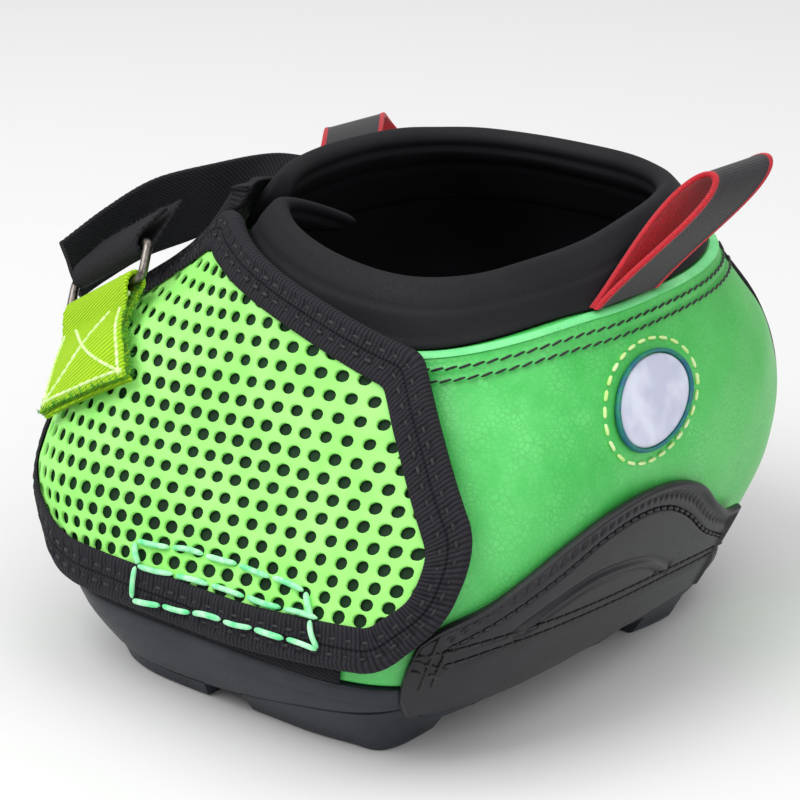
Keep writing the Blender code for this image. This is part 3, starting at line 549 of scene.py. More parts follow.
finishes = {
    "sole": makeRubber("slateSoleRubber", rgb(24, 28, 38), rgb(36, 40, 50), 0.46, 0.0009, 0.00008),
    "wing": makeRubber("satinWingRubber", rgb(17, 15, 21), rgb(29, 27, 33), 0.36, 0.0006, 0.00007),
    "leather": makeLeather(),
    "lime": makeLime(),
    "neoprene": makeNeoprene("charcoalNeoprene", rgb(8, 8, 13), rgb(17, 17, 23)),
    "inside": makeNeoprene("innerNeoprene", rgb(14, 15, 18), rgb(26, 28, 33)),
    # painted reflection: the black neoprene pad behind the holes is coloured dark green for the lime light
    # thrown onto it
    "backing": makeNeoprene("darkGreenBacking", rgb(8, 34, 16), rgb(18, 56, 28)),
    "binding": makeTape("ribbedBinding", rgb(6, 5, 8), rgb(42, 40, 48), 0.00125, 0, 0.12),
    "webbing": makeTape("blackWebbing", rgb(6, 6, 9), rgb(31, 30, 36), 0.0010, 1, 0.35),
    "hook": makeTape("hookCloth", rgb(6, 6, 9), rgb(34, 33, 40), 0.0011, 0, 0.9),
    "limeWebbing": makeTape("limeWebbing", rgb(118, 172, 10), rgb(180, 224, 34), 0.0010, 0, 0.3),
    "blackThread": makeThread("blackThread", rgb(8, 7, 9), rgb(26, 24, 28)),
    "limeThread": makeThread("limeThread", rgb(206, 246, 140), rgb(232, 252, 190)),
    "mintThread": makeThread("mintThread", rgb(96, 232, 150), rgb(190, 250, 206), 0.42),
    "fuzz": makeThread("blackFuzz", rgb(12, 11, 14), rgb(48, 45, 52), 0.8),
    "greenFuzz": makeThread("greenFuzz", rgb(18, 104, 18), rgb(84, 186, 34), 0.8),
    "ribbon": makeRibbon(),
    "wire": makeWire(),
    "badgeWhite": makeBadgeWhite(),
    "badgeTeal": makeBadgeTeal(),
    "cutEdge": makeRubber("paleGreenEdge", rgb(96, 214, 126), rgb(140, 234, 160), 0.6, 0.0007, 0.0001),
}
print("finishes made:", len(finishes))


# repeats: rows of stitches, fibres and perforations grown by Geometry Nodes
def newTree(name, sockets):
    tree = bpy.data.node_groups.new(name, "GeometryNodeTree")
    tree.interface.new_socket(name="Geometry", in_out="INPUT", socket_type="NodeSocketGeometry")
    for label, kind, value in sockets:
        socket = tree.interface.new_socket(name=label, in_out="INPUT", socket_type=kind)
        if value is not None:
            socket.default_value = value
    tree.interface.new_socket(name="Geometry", in_out="OUTPUT", socket_type="NodeSocketGeometry")
    return tree, tree.nodes.new("NodeGroupInput"), tree.nodes.new("NodeGroupOutput")


def grow(tree, kind, sockets=None, **settings):
    node = tree.nodes.new(kind)
    for key, value in settings.items():
        setattr(node, key, value)
    for key, value in (sockets or {}).items():
        if hasattr(value, "is_output"):
            tree.links.new(value, node.inputs[key])
        else:
            node.inputs[key].default_value = value
    return node


def closeTree(tree, geometry, material, output):
    real = grow(tree, "GeometryNodeRealizeInstances", {0: geometry})
    smooth = grow(tree, "GeometryNodeSetShadeSmooth", {0: real.outputs[0]})
    painted = grow(tree, "GeometryNodeSetMaterial", {"Geometry": smooth.outputs[0], "Material": material})
    tree.links.new(painted.outputs[0], output.inputs[0])


def runTree(piece, tree, **values):
    # sets the named inputs, grows the piece, keeps the plain mesh and drops the modifier
    modifier = piece.modifiers.new(tree.name, "NODES")
    modifier.node_group = tree
    for item in tree.interface.items_tree:
        if item.in_out == "INPUT" and item.name.replace(" ", "") in values:
            modifier[item.identifier] = values[item.name.replace(" ", "")]
    bpy.context.view_layer.update()
    grown = bpy.data.meshes.new_from_object(piece.evaluated_get(bpy.context.evaluated_depsgraph_get()))
    piece.modifiers.clear()
    piece.data = grown
    grown.name = piece.name
    return piece


def makeStitchTree():
    tree, given, output = newTree("stitchRows", (
        ("Spacing", "NodeSocketFloat", 0.003), ("Stitch Length", "NodeSocketFloat", 0.0024),
        ("Thread Radius", "NodeSocketFloat", 0.0003), ("Slant", "NodeSocketFloat", 0.0),
        ("Raise", "NodeSocketFloat", 0.0), ("Finish", "NodeSocketMaterial", None)))
    g = given.outputs
    curve = grow(tree, "GeometryNodeMeshToCurve", {0: g["Geometry"]})
    spaced = grow(tree, "GeometryNodeResampleCurve", {"Curve": curve.outputs[0], "Length": g["Spacing"]},
                  mode="LENGTH")
    out = grow(tree, "GeometryNodeInputNamedAttribute", {"Name": "out"}, data_type="FLOAT_VECTOR")
    tangent = grow(tree, "GeometryNodeInputTangent")
    turned = grow(tree, "FunctionNodeAxesToRotation", {0: tangent.outputs[0], 1: out.outputs[0]},
                  primary_axis="Z", secondary_axis="X")
    slant = grow(tree, "FunctionNodeAxisAngleToRotation", {"Axis": (1.0, 0.0, 0.0), "Angle": g["Slant"]})
    both = grow(tree, "FunctionNodeRotateRotation", {0: turned.outputs[0], 1: slant.outputs[0]},
                rotation_space="LOCAL")
    lifted = grow(tree, "ShaderNodeVectorMath", {0: out.outputs[0], "Scale": g["Raise"]}, operation="SCALE")
    raised = grow(tree, "GeometryNodeSetPosition", {"Geometry": spaced.outputs[0],
                                                    "Offset": lifted.outputs[0]})
    half = grow(tree, "ShaderNodeMath", {0: g["Stitch Length"], 1: 0.5}, operation="MULTIPLY")
    size = grow(tree, "ShaderNodeCombineXYZ", {0: g["Thread Radius"], 1: g["Thread Radius"],
                                               2: half.outputs[0]})
    ball = grow(tree, "GeometryNodeMeshUVSphere", {"Segments": 7, "Rings": 8, "Radius": 1.0})
    spot = grow(tree, "GeometryNodeInputPosition")
    parts = grow(tree, "ShaderNodeSeparateXYZ", {0: spot.outputs[0]})
    blunt = grow(tree, "ShaderNodeMath", {0: parts.outputs[2], 1: 4.0}, operation="POWER")
    girth = grow(tree, "ShaderNodeMath", {0: 1.0, 1: blunt.outputs[0]}, operation="SUBTRACT")
    thin = grow(tree, "ShaderNodeMath", {0: girth.outputs[0], 1: 0.5}, operation="POWER")
    flat = grow(tree, "ShaderNodeMath", {0: parts.outputs[2], 1: parts.outputs[2]}, operation="MULTIPLY")
    blunt = grow(tree, "ShaderNodeMath", {0: 1.0001, 1: flat.outputs[0]}, operation="SUBTRACT")
    ideal = grow(tree, "ShaderNodeMath", {0: blunt.outputs[0], 1: 0.5}, operation="POWER")
    fuller = grow(tree, "ShaderNodeMath", {0: thin.outputs[0], 1: ideal.outputs[0]}, operation="DIVIDE")
    spread = grow(tree, "ShaderNodeCombineXYZ", {0: fuller.outputs[0], 1: fuller.outputs[0], 2: 1.0})
    shaped = grow(tree, "ShaderNodeVectorMath", {0: spot.outputs[0], 1: spread.outputs[0]},
                  operation="MULTIPLY")
    thread = grow(tree, "GeometryNodeSetPosition", {"Geometry": ball.outputs[0],
                                                    "Position": shaped.outputs[0]})
    stitch = grow(tree, "GeometryNodeInstanceOnPoints", {"Points": raised.outputs[0],
                                                         "Instance": thread.outputs[0],
                                                        "Rotation": both.outputs[0],
                                                        "Scale": size.outputs[0]})
    closeTree(tree, stitch.outputs[0], g["Finish"], output)
    return tree


def makeFibreTree():
    tree, given, output = newTree("fibres", (
        ("Density", "NodeSocketFloat", 1e6), ("Fibre Length", "NodeSocketFloat", 0.0012),
        ("Fibre Radius", "NodeSocketFloat", 0.00009), ("Seed", "NodeSocketInt", 1),
        ("Finish", "NodeSocketMaterial", None)))
    g = given.outputs
    spots = grow(tree, "GeometryNodeDistributePointsOnFaces",
                 {"Mesh": g["Geometry"], "Density": g["Density"],
                                                              "Seed": g["Seed"]}, distribute_method="RANDOM")
    tilt = grow(tree, "FunctionNodeRandomValue", {0: (-0.9, -0.9, 0.0), 1: (0.9, 0.9, 6.28),
                                                  "Seed": g["Seed"]},
                data_type="FLOAT_VECTOR")
    bent = grow(tree, "FunctionNodeEulerToRotation", {0: tilt.outputs[0]})
    both = grow(tree, "FunctionNodeRotateRotation", {0: spots.outputs["Rotation"], 1: bent.outputs[0]},
                rotation_space="LOCAL")
    size = grow(tree, "FunctionNodeRandomValue", {2: 0.5, 3: 1.3, "Seed": g["Seed"]}, data_type="FLOAT")
    hair = grow(tree, "GeometryNodeMeshCone", {"Vertices": 3, "Side Segments": 1, "Radius Top": 0.00002,
                                              "Radius Bottom": g["Fibre Radius"],
                                              "Depth": g["Fibre Length"]},
                fill_type="NONE")
    hairSize = size.outputs["Value"] if "Value" in size.outputs else size.outputs[1]
    hairs = grow(tree, "GeometryNodeInstanceOnPoints", {"Points": spots.outputs[0],
                                                        "Instance": hair.outputs[0],
                                                       "Rotation": both.outputs[0],
                                                       "Scale": hairSize})
    closeTree(tree, hairs.outputs[0], g["Finish"], output)
    return tree


def makeHoleTree():
    # one perforated cell on every place of the sheet's own lattice
    # the cell's z says which ring a point is on
    tree, given, output = newTree("perforations", (("Cell", "NodeSocketObject", None),
                                                   ("Finish", "NodeSocketMaterial", None)))
    g = given.outputs
    spot = grow(tree, "GeometryNodeInputPosition")
    kept = grow(tree, "GeometryNodeStoreNamedAttribute", {"Geometry": g["Geometry"], "Name": "cell",
                                                          "Value": spot.outputs[0]},
                data_type="FLOAT_VECTOR", domain="POINT")
    cell = grow(tree, "GeometryNodeObjectInfo", {0: g["Cell"]})
    cells = grow(tree, "GeometryNodeInstanceOnPoints", {"Points": kept.outputs[0],
                                                        "Instance": cell.outputs["Geometry"]})
    closeTree(tree, cells.outputs[0], g["Finish"], output)
    return tree


stitchTree, fibreTree, holeTree = makeStitchTree(), makeFibreTree(), makeHoleTree()


def stitchPiece(name, lines, body, slot, finish, spacing, length, radius, slant=0.0, lift=0.0):
    # lines is a list of (places, outward directions)
    vertices = np.concatenate([p for p, o in lines])
    outs = unit(np.concatenate([o for p, o in lines]))
    edges, start = [], 0
    for places, o in lines:
        edges += [(start + i, start + i + 1) for i in range(len(places) - 1)]
        start += len(places)
    mesh = bpy.data.meshes.new(name)
    mesh.from_pydata(vertices.tolist(), edges, [])
    mesh.attributes.new("out", "FLOAT_VECTOR", "POINT").data.foreach_set("vector",
                                                                         outs.astype(np.float32).ravel())
    piece = bpy.data.objects.new(name, mesh)
    bpy.context.collection.objects.link(piece)
    runTree(piece, stitchTree, Spacing=spacing, StitchLength=length, ThreadRadius=radius, Slant=slant,
            Raise=lift,
            Finish=finishes[finish])
    return dress(piece, body, slot)


def fibrePiece(name, outer, body, slot, finish, density, length, radius, seed):
    # fibres stand on a grid of places
    n, m = outer.shape[:2]
    a = (np.arange(n - 1)[:, None] * m + np.arange(m - 1)[None, :]).ravel()
    mesh = bpy.data.meshes.new(name)
    mesh.from_pydata(outer.reshape(-1, 3).tolist(), [], np.stack([a, a + 1, a + m + 1, a + m], 1).tolist())
    piece = bpy.data.objects.new(name, mesh)
    bpy.context.collection.objects.link(piece)
    runTree(piece, fibreTree, Density=density, FibreLength=length, FibreRadius=radius, Seed=seed,
            Finish=finishes[finish])
    return dress(piece, body, slot)


def wallLine(line, surface, lift, count):
    # a stitched line through (around, height) places in millimetres
    places = smoothLine(np.array(line) / 1000, count)
    return surface(places[:, 0], places[:, 1], np.full(count, lift)), wallNormal(places[:, 0], places[:, 1])


def lineDistance(around, height, line):
    # distance of every point of a grid from a line of (around, height) places in millimetres
    route = smoothLine(np.array(line) / 1000, 60)
    flat = np.stack([around, height], -1)[:, :, None]
    a, b = route[:-1], route[1:]
    run = b - a
    t = np.clip(((flat - a) * run).sum(-1) / (run * run).sum(-1), 0, 1)
    return np.linalg.norm(flat - (a + t[..., None] * run), axis=-1).min(-1)


def groove(distance, width):
    return np.exp(-(distance / width) ** 2)


# the boot's shell: sole, bed, lining, tongue, panels
def panelGrid(startAt, endAt, topAt, columns, rows, rounding):
    s = softShares(0.110, rounding, columns)
    t = softShares(0.080, rounding, rows)
    head = startAt(bootForm["hemFront"]) + (endAt(bootForm["hemFront"]) - startAt(bootForm["hemFront"])) * s
    foot = startAt(bootForm["panRim"]) + (endAt(bootForm["panRim"]) - startAt(bootForm["panRim"])) * s
    low = rimAt(np.maximum(np.abs(foot) - 0.0016, 0)) + gap
    height = low[:, None] + (topAt(head) - low)[:, None] * t
    return startAt(height) + (endAt(height) - startAt(height)) * s[:, None], height


treadForm = {
    "inset": ((-185, 2.0), (-160, 2.0), (-133, 5.0), (-100, 7.0), (-79, 6.5), (-63, 3.5), (-54, 0.0),
              (-47, -2.4), (-36.5, -1.8),
              (-23.7, -1.0), (-9.6, -0.6), (3.8, 0.5), (22, 0.5), (38, -0.8), (46.5, -4.0), (48.4, -3.4),
              (56, 0.6), (63.3, 4.0),
              (79, 7.9), (99.7, 8.1), (116, 7.0), (133.4, 5.7), (143.6, 2.2), (160.6, -1.0), (185, 0.5)),
    "lines": ((-80, 18.0), (-62, 17.6), (-54, 15.0), (-47, 10.0), (-41, 8.0), (7, 7.8), (29, 13.0),
              (50, 16.4), (55, 17.6), (80, 17.6)),
    "notches": ((-9.2, 5.2), (63.3, 79.0), (133.4, 143.6), (160.6, 185.0), (-79.0, -63.3), (-143.6, -133.4),
                (-185.0, -160.6)),
    "ceiling": 0.0068, "slope": 0.0014, "skin": 0.00016, "band": 0.0150, "channel": 0.0205,
    "groove": 0.0062, "columns": 1000,
}


def treadTable(key, around):
    places = smoothLine(np.array(treadForm[key]) / 1000, 600)
    return np.interp(around, places[:, 0], places[:, 1])


def makeTread():
    look = treadForm
    shares = np.linspace(-1, 1, look["columns"], endpoint=False)
    ground = shares * halfGirth(0.0)
    rim = rimAt(shares * halfGirth(bootForm["panRim"]))
    line = np.minimum(treadTable("lines", ground), rim - 0.0028)
    notch = 0 * shares
    for start, end in look["notches"]:
        inside = ease(ground, start / 1000 - look["slope"] / 2, look["slope"])
        notch = np.maximum(notch, inside * (1 - ease(ground, end / 1000 - look["slope"] / 2,
                                                     look["slope"])))
    low = look["ceiling"] * notch
    inset = treadTable("inset", ground)

    def place(height, lift):
        height, lift = np.broadcast_to(height, rim.shape), np.broadcast_to(lift, rim.shape)
        return levelWall(shares * halfGirth(height), height, lift)

    def lower(height):
        return place(height, -inset * np.clip(1 - height / line, 0, 1) - 0.0004)

    def under(depth, height):
        base = place(0.0 * rim, -inset - 0.0004)
        inward = -wallNormal(shares * halfGirth(0.004), 0.004) * np.array([1.0, 1.0, 0.0])
        spot = base + unit(inward) * depth
        spot[:, 2] = height
        return spot

    wallIn, step, skin = -bootForm["panWall"], 0.0006, look["skin"]
    bead = ease(rim, 0.0160, 0.0060)
    rows = [under(look["channel"] + 0.0004, 0 * rim + 0.0002),
            under(look["channel"], 0 * rim + look["groove"]),
            under(look["band"] + 0.0004, 0 * rim + look["groove"]), under(look["band"], low),
            under(look["band"] * 0.5, low),
            under(0.0007, low)]
    rows += [lower(low + 0.0007 + (line - 0.0016 - low) * t) for t in np.linspace(0, 1, 8)]
    rows += [place(line - 0.0004, -0.0009), place(line + 0.0002, -0.0008),
             place(line + 0.0008, skin + 0.0005)]
    for t in np.linspace(0.0, 1.0, 12):
        height = line + 0.0014 + (rim - 0.0010 - line - 0.0014) * t
        mark = bead * groove(height - 0.0192, 0.0005) * 0.00025
        rows.append(place(height, skin + 0.0003 * (1 - t) + 0.0002 - mark))
    rows += [place(rim - step, skin), place(rim - step * 0.2, skin - step * 0.45),
             place(rim + 0.00012, skin - step * 1.3),
             place(rim + 0.00012, wallIn + step), place(rim - step * 0.4, wallIn - 0.00006),
             place(0.0102, wallIn + 0.0001)]
    inner = place(0.0098, wallIn - 0.0006)
    centre = inner.mean(0)
    rows += [centre + (inner - centre) * share for share in (1.0, 0.7, 0.4)]
    heart = rows[0].mean(0)
    first = [heart + (rows[0] - heart) * share for share in (0.3, 0.65)]
    tread = loftPiece("treadSole", np.array(first + rows), finishes["sole"], sharp=42)
    return dress(tread, "boot", "sole_rubber", "outsole")


def makeSole():
    makeTread()


def makeFootBed():
    look = {"sink": 0.0046 + 0.0034 + 0.0016, "low": 0.0103, "high": 0.0133, "columns": 160}
    shares = np.linspace(-1, 1, look["columns"], endpoint=False)
    floor = np.full(look["columns"], bootForm["panFloor"])
    edge = levelWall(shares * halfGirth(floor), floor, np.full(look["columns"], -look["sink"]))
    centre = edge.mean(0)
    rings = []
    for share, height in ((0.3, look["low"]), (1.0, look["low"]), (1.0, look["high"] - 0.0008),
                          (0.993, look["high"]),
                          (0.8, look["high"]), (0.5, look["high"]), (0.25, look["high"])):
        ring = centre + (edge - centre) * share
        ring[:, 2] = height
        rings.append(ring)
    bed = loftPiece("footBedPad", np.array(rings), finishes["inside"])
    dress(bed, "boot", "black_neoprene", "foot_bed")


def makeLining():
    look = {"lift": -0.0054, "thick": 0.0034, "tail": 0.0078, "columns": 200, "rows": 26}
    shares = np.linspace(-1, 1, look["columns"], endpoint=False)
    top = hemAt(shares * halfGirth(bootForm["hemFront"])) - look["tail"]
    low = bootForm["panFloor"] + gap
    t = np.linspace(0, 1, look["rows"])
    rows = []
    for lift, steps in ((look["lift"], t), (look["lift"] - look["thick"], t[::-1])):
        for k in steps:
            height = low + (top - low) * k
            rows.append(levelWall(shares * halfGirth(height), height, np.full_like(height, lift)))
    lining = loftPiece("innerLining", np.stack(rows, 1), finishes["inside"], closedPath=True, sharp=60)
    dress(lining, "boot", "black_neoprene", "lining")


def makeTongue():
    half = 0.030 - 2 * gap

    def start(h):
        return -half + 0 * np.asarray(h, float)

    def end(h):
        return half + 0 * np.asarray(h, float)

    grid = panelGrid(start, end, hemAt, 50, 60, 0.0012)
    tongue = roundedShell("tongueCover", *grid, levelWall, -0.0042, -0.0010, 0.0012, finishes["neoprene"])
    dress(tongue, "boot", "black_neoprene", "tongue")


panelForm = {"front": 0.030, "pipingRadius": 0.0017, "pipingGap": 0.0006, "thick": 0.0032,
             "rounding": 0.0011,
             "ripple": 0.00045, "hem": 0.0007, "hemBand": 0.0075}


def panelRelief(around, height, edges):
    # slow hand-made ripples, a bound hem that stands proud, and a small step over the wing's edge
    a, h = around * 1000, height * 1000
    ripple = (np.sin(a / 9.0 + h / 16.0) * 0.45 + np.sin(a / 5.3 - h / 7.7 + 1.3) * 0.3
              + np.sin(h / 4.6 + a / 21.0 + 0.6) * 0.25)
    top = edges[3]
    hem = panelForm["hem"] * (1 - ease(top, panelForm["hemBand"] - 0.0016, 0.0016))
    rows = groove(top - 0.0036, 0.0007) + groove(top - 0.0064, 0.0007)
    return panelForm["ripple"] * ripple * ease(np.minimum(top, edges[2]), 0.004,
                                               0.012) + hem - 0.00035 * rows


def makeSidePanel(name, node, side):

    def start(h):
        return side * panelForm["front"] + 0 * np.asarray(h, float)

    def end(h):
        seam = panelForm["pipingRadius"] + panelForm["pipingGap"]
        return side * (bootForm["pipingShare"] * halfGirth(h) - seam)

    grid = panelGrid(start, end, hemAt, 190, 130, panelForm["rounding"])
    sink = -bootForm["panelSink"]
    panel = roundedShell(name, *grid, levelWall, sink - panelForm["thick"], sink, panelForm["rounding"],
                         finishes["leather"], panelRelief)
    dress(panel, "boot", "green_leather", node)


def makeHeel():

    def start(h):
        return bootForm["pipingShare"] * halfGirth(h) + 0.0023

    def end(h):
        return (2 - bootForm["pipingShare"]) * halfGirth(h) - 0.0023

    grid = panelGrid(start, end, hemAt, 130, 90, 0.0012)
    heel = roundedShell("heelCover", *grid, levelWall, -0.0042, -0.0010, 0.0012, finishes["neoprene"])
    dress(heel, "boot", "black_neoprene", "heel_panel")


def makePiping(name, node, side):
    look = {"radius": 0.0017, "sink": 0.8, "rows": 150}
    low = bootForm["panRim"] + gap + 0.0009
    high = hemAt(side * bootForm["pipingShare"] * halfGirth(bootForm["hemFront"]))
    height = np.linspace(low, high, look["rows"])
    around = side * bootForm["pipingShare"] * halfGirth(height)
    points = levelWall(around, height, np.full_like(height, -bootForm["panelSink"] - look["radius"]
                                                    * look["sink"]))
    radius = look["radius"] * (1 - 0.25 * groove(np.arange(look["rows"]), 1.2) - 0.25
                               * groove(np.arange(look["rows"])[::-1], 1.2))
    piping = loftPiece(name, tubeLoops(points, radius, 16), finishes["webbing"])
    dress(piping, "boot", "black_tape", node)


def makeHemEdges():
    # the green panels' cut top edge, paler than the leather
    look = {"count": 160, "in": -0.0022, "out": -0.0003, "high": 0.00022}
    for name, side in (("leftHemEdge", 1), ("rightHemEdge", -1)):
        last = bootForm["pipingShare"] * halfGirth(bootForm["hemFront"]) - 0.0035
        around = side * np.linspace(panelForm["front"] + 0.001, last, look["count"])
        hem = hemAt(around)
        rows = []
        for lift, rise in ((look["in"], -0.0006), (look["in"], look["high"]), (-0.0012, look["high"]),
                           (look["out"], look["high"] - 0.0004),
                           (look["out"], -0.0009)):
            rows.append(levelWall(around, hem + rise, np.full_like(around, lift + panelForm["hem"] * 0.8)))
        piece = loftPiece(name, np.stack(rows, 1), finishes["cutEdge"], sharp=60)
        dress(piece, "boot", "green_leather")


def makeHemStitches():
    look = {"rows": (0.0036, 0.0064), "lift": -0.00085, "spacing": 0.0036, "length": 0.0035,
            "radius": 0.00034, "slant": 0.2}
    lines = []
    last = bootForm["pipingShare"] * halfGirth(bootForm["hemFront"]) - 0.0042
    for side in (1, -1):
        around = side * np.linspace(panelForm["front"] + 0.003, last, 200)
        for drop in look["rows"]:
            height = hemAt(around) - drop
            lines.append((levelWall(around, height, np.full_like(around, look["lift"] + panelForm["hem"])),
                          wallNormal(around, height)))
    stitchPiece("hemStitches", lines, "boot", "black_tape", "blackThread", look["spacing"], look["length"],
                look["radius"],
                look["slant"])


makeSole()
makeFootBed()
makeLining()
makeTongue()
makeSidePanel("leftSidePanel", "left_panel", 1)
makeSidePanel("rightSidePanel", "right_panel", -1)
makeHeel()
makePiping("leftPiping", "left_piping", 1)
makePiping("rightPiping", "right_piping", -1)
makeHemEdges()
makeHemStitches()
print("shell dressed")


# moulded wings
wingForm = {
    "starts": {1: 0.0586, -1: 0.0740}, "rake": {1: 0.0040, -1: 0.0080}, "top": 0.0615, "endShare": 0.640,
    "tops": ((0.0, 0.615), (0.035, 0.675), (0.12, 0.75), (0.19, 0.83), (0.27, 0.912), (0.37, 0.969),
             (0.50, 0.99),
             (0.62, 0.964), (0.73, 0.893), (0.84, 0.75), (0.93, 0.655), (1.0, 0.630)),
    "low": 0.0003, "high": 0.0022, "lip": 0.0009, "rounding": 0.0011,
    "seam": ((71, 36.5), (83, 41.6), (98, 48.0), (112, 53.4), (128, 54.9), (141, 52.6), (156, 46.1),
             (168, 38.5), (183, 30.8)),
    "inner": ((69.5, 38.5), (78.6, 43.6), (90.6, 49.6), (102, 54.2), (113, 57.0), (125.5, 58.2),
              (138, 56.6), (152.5, 51.6),
              (168.7, 41.7), (184, 34.8)),
    "swoosh": ((90, 35.9), (101, 39.7), (113.4, 41.9), (127.3, 40.9), (142.3, 37.2), (154, 31.5)),
    "rowOne": ((70.1, 35.3), (79.8, 36.2), (93.6, 36.0), (108.6, 34.7), (130.3, 32.7), (153, 30.7),
               (168, 29.4), (185, 27.0)),
    "rowTwo": ((70.7, 31.6), (82.2, 33.0), (96.6, 32.8), (112.2, 31.7), (132.1, 29.9), (156.1, 28.1),
               (181, 25.7)),
}


def wingGrid(side, columns, rows):
    s, t = softShares(0.125, wingForm["rounding"], columns), softShares(0.045, wingForm["rounding"], rows)
    low = bootForm["panRim"] + gap
    tops = smoothLine(np.array(wingForm["tops"]), 400)
    top = wingForm["top"] * np.interp(s, tops[:, 0], tops[:, 1])
    height = low + (top - low)[:, None] * t
    rake = wingForm["rake"][side] * t[None, :] ** 1.5
    last = wingForm["endShare"] * halfGirth(height)
    first, like = wingForm["starts"][side] + rake, wingForm["starts"][1] + rake
    return side * (first + (last - first) * s[:, None]), height, like + (last - like) * s[:, None]


def makeWing(name, node, side):
    around, height, like = wingGrid(side, 330, 110)

    def relief(around, height, edges):
        top, front, rear = edges[3], edges[0], edges[1]
        near = np.minimum(np.minimum(top, front + 0.0006), rear + 0.0006)
        lip = wingForm["lip"] * np.exp(-(np.clip(near - 0.0017, 0, 1) / 0.0009) ** 2)
        seam = lineDistance(like, height, wingForm["seam"])
        inner = lineDistance(like, height, wingForm["inner"])
        dots = 0.6 + 0.4 * np.sin(like * 2094)
        swoosh = lineDistance(like, height, wingForm["swoosh"])
        one = lineDistance(like, height, wingForm["rowOne"])
        two = lineDistance(like, height, wingForm["rowTwo"])
        below = ease(-(height - np.interp(like, np.array(wingForm["rowTwo"])[:, 0] / 1000,
                                          np.array(wingForm["rowTwo"])[:, 1] / 1000)), 0.0008, 0.0016)
        return (lip - 0.0008 * groove(seam, 0.00055) - 0.0007 * dots * groove(inner, 0.0008) + 0.0005
                * groove(swoosh, 0.0009)
                - 0.0006 * groove(swoosh - 0.0016, 0.0008) - 0.0005
                * (groove(one, 0.0006) + groove(two, 0.0006)) + 0.00030 * below)

    wing = roundedShell(name, around, height, levelWall, wingForm["low"], wingForm["high"],
                        wingForm["rounding"],
                        finishes["wing"], relief)
    dress(wing, "boot", "wing_rubber", node)


def makeWingStitches():
    look = {"lift": 0.0022, "spacing": 0.0036, "length": 0.0033, "radius": 0.00036}
    sides = {1: 0.0, -1: 0.0125}
    lines, moulded = [], []
    for side, shift in sides.items():
        for key in ("rowOne", "rowTwo", "seam"):
            route = np.array(wingForm[key])
            if side < 0:
                route = route[route[:, 0] > 78]
            places = smoothLine(route / 1000, 160)
            a = side * (places[:, 0] + shift * np.clip((0.150 - places[:, 0]) / 0.08, 0, 1))
            line = (levelWall(a, places[:, 1], np.full(160, look["lift"]
                                                       - (0.0003 if key == "seam" else 0.00018))),
                                                       wallNormal(a, places[:, 1]))
            (moulded if key == "seam" else lines).append(line)
    stitchPiece("wingStitches", lines, "boot", "black_tape", "blackThread", look["spacing"], look["length"],
                look["radius"])
    stitchPiece("wingDashes", moulded, "boot", "wing_rubber", "wing", 0.0034, 0.0026, 0.0005)
    tack = []
    for line in (((67.1, 38.6), (65.9, 30.7), (64.7, 26.4)), ((69.5, 34.4), (67.7, 27.0)),
                 ((63.5, 33.2), (69.5, 30.9)),
                 ((62.9, 30.5), (67.6, 29.3)), ((63.4, 34.6), (70.2, 35.3))):
        tack.append(wallLine(line, levelWall, 0.0026, 24))
    stitchPiece("wingTack", tack, "boot", "black_tape", "blackThread", 0.0026, 0.0034, 0.00055)


makeWing("leftWing", "left_wing", 1)
makeWing("rightWing", "right_wing", -1)
makeWingStitches()
print("wings dressed")


# padded collar
collarForm = {"tail": 0.0075, "groove": 0.0012, "roll": 0.0046, "dip": 0.0030, "split": -0.335,
              "splitGap": 0.0030,
              "nearDip": ((-0.36, 0.0), (-0.24, 0.0), (-0.12, 0.0030), (0.02, 0.0066), (0.14, 0.0076),
                          (0.28, 0.0051),
                          (0.40, 0.0031), (0.51, 0.0012), (0.64, 0.0)),
              "rollShare": 0.135, "rollDepth": 0.0200, "rollDrop": 0.0120, "inner": 0.0090,
              "behind": -0.0054,
              "columns": 420, "section": 6}


def roundRing(rings, steps):
    # rounds closed rings of control places by a spline through them
    before, after, third = np.roll(rings, 1, 1), np.roll(rings, -1, 1), np.roll(rings, -2, 1)
    parts = []
    for t in np.linspace(0, 1, steps, endpoint=False):
        parts.append(0.5 * (2 * rings + (after - before) * t + (2 * before - 5 * rings + 4 * after - third)
                            * t**2
                            + (3 * rings - before - 3 * after + third) * t**3))
    return np.stack(parts, 2).reshape(len(rings), -1, 3)


def swelled(loops, amount):
    # moves every place of a grid of closed rings along its outward normal
    across = np.roll(loops, -1, 1) - np.roll(loops, 1, 1)
    run = np.gradient(loops, axis=0)
    normal = unit(np.cross(run, across))
    centre = loops.mean(1, keepdims=True)
    if ((loops - centre) * normal).sum() < 0:
        normal = -normal
    return loops + normal * amount[..., None]


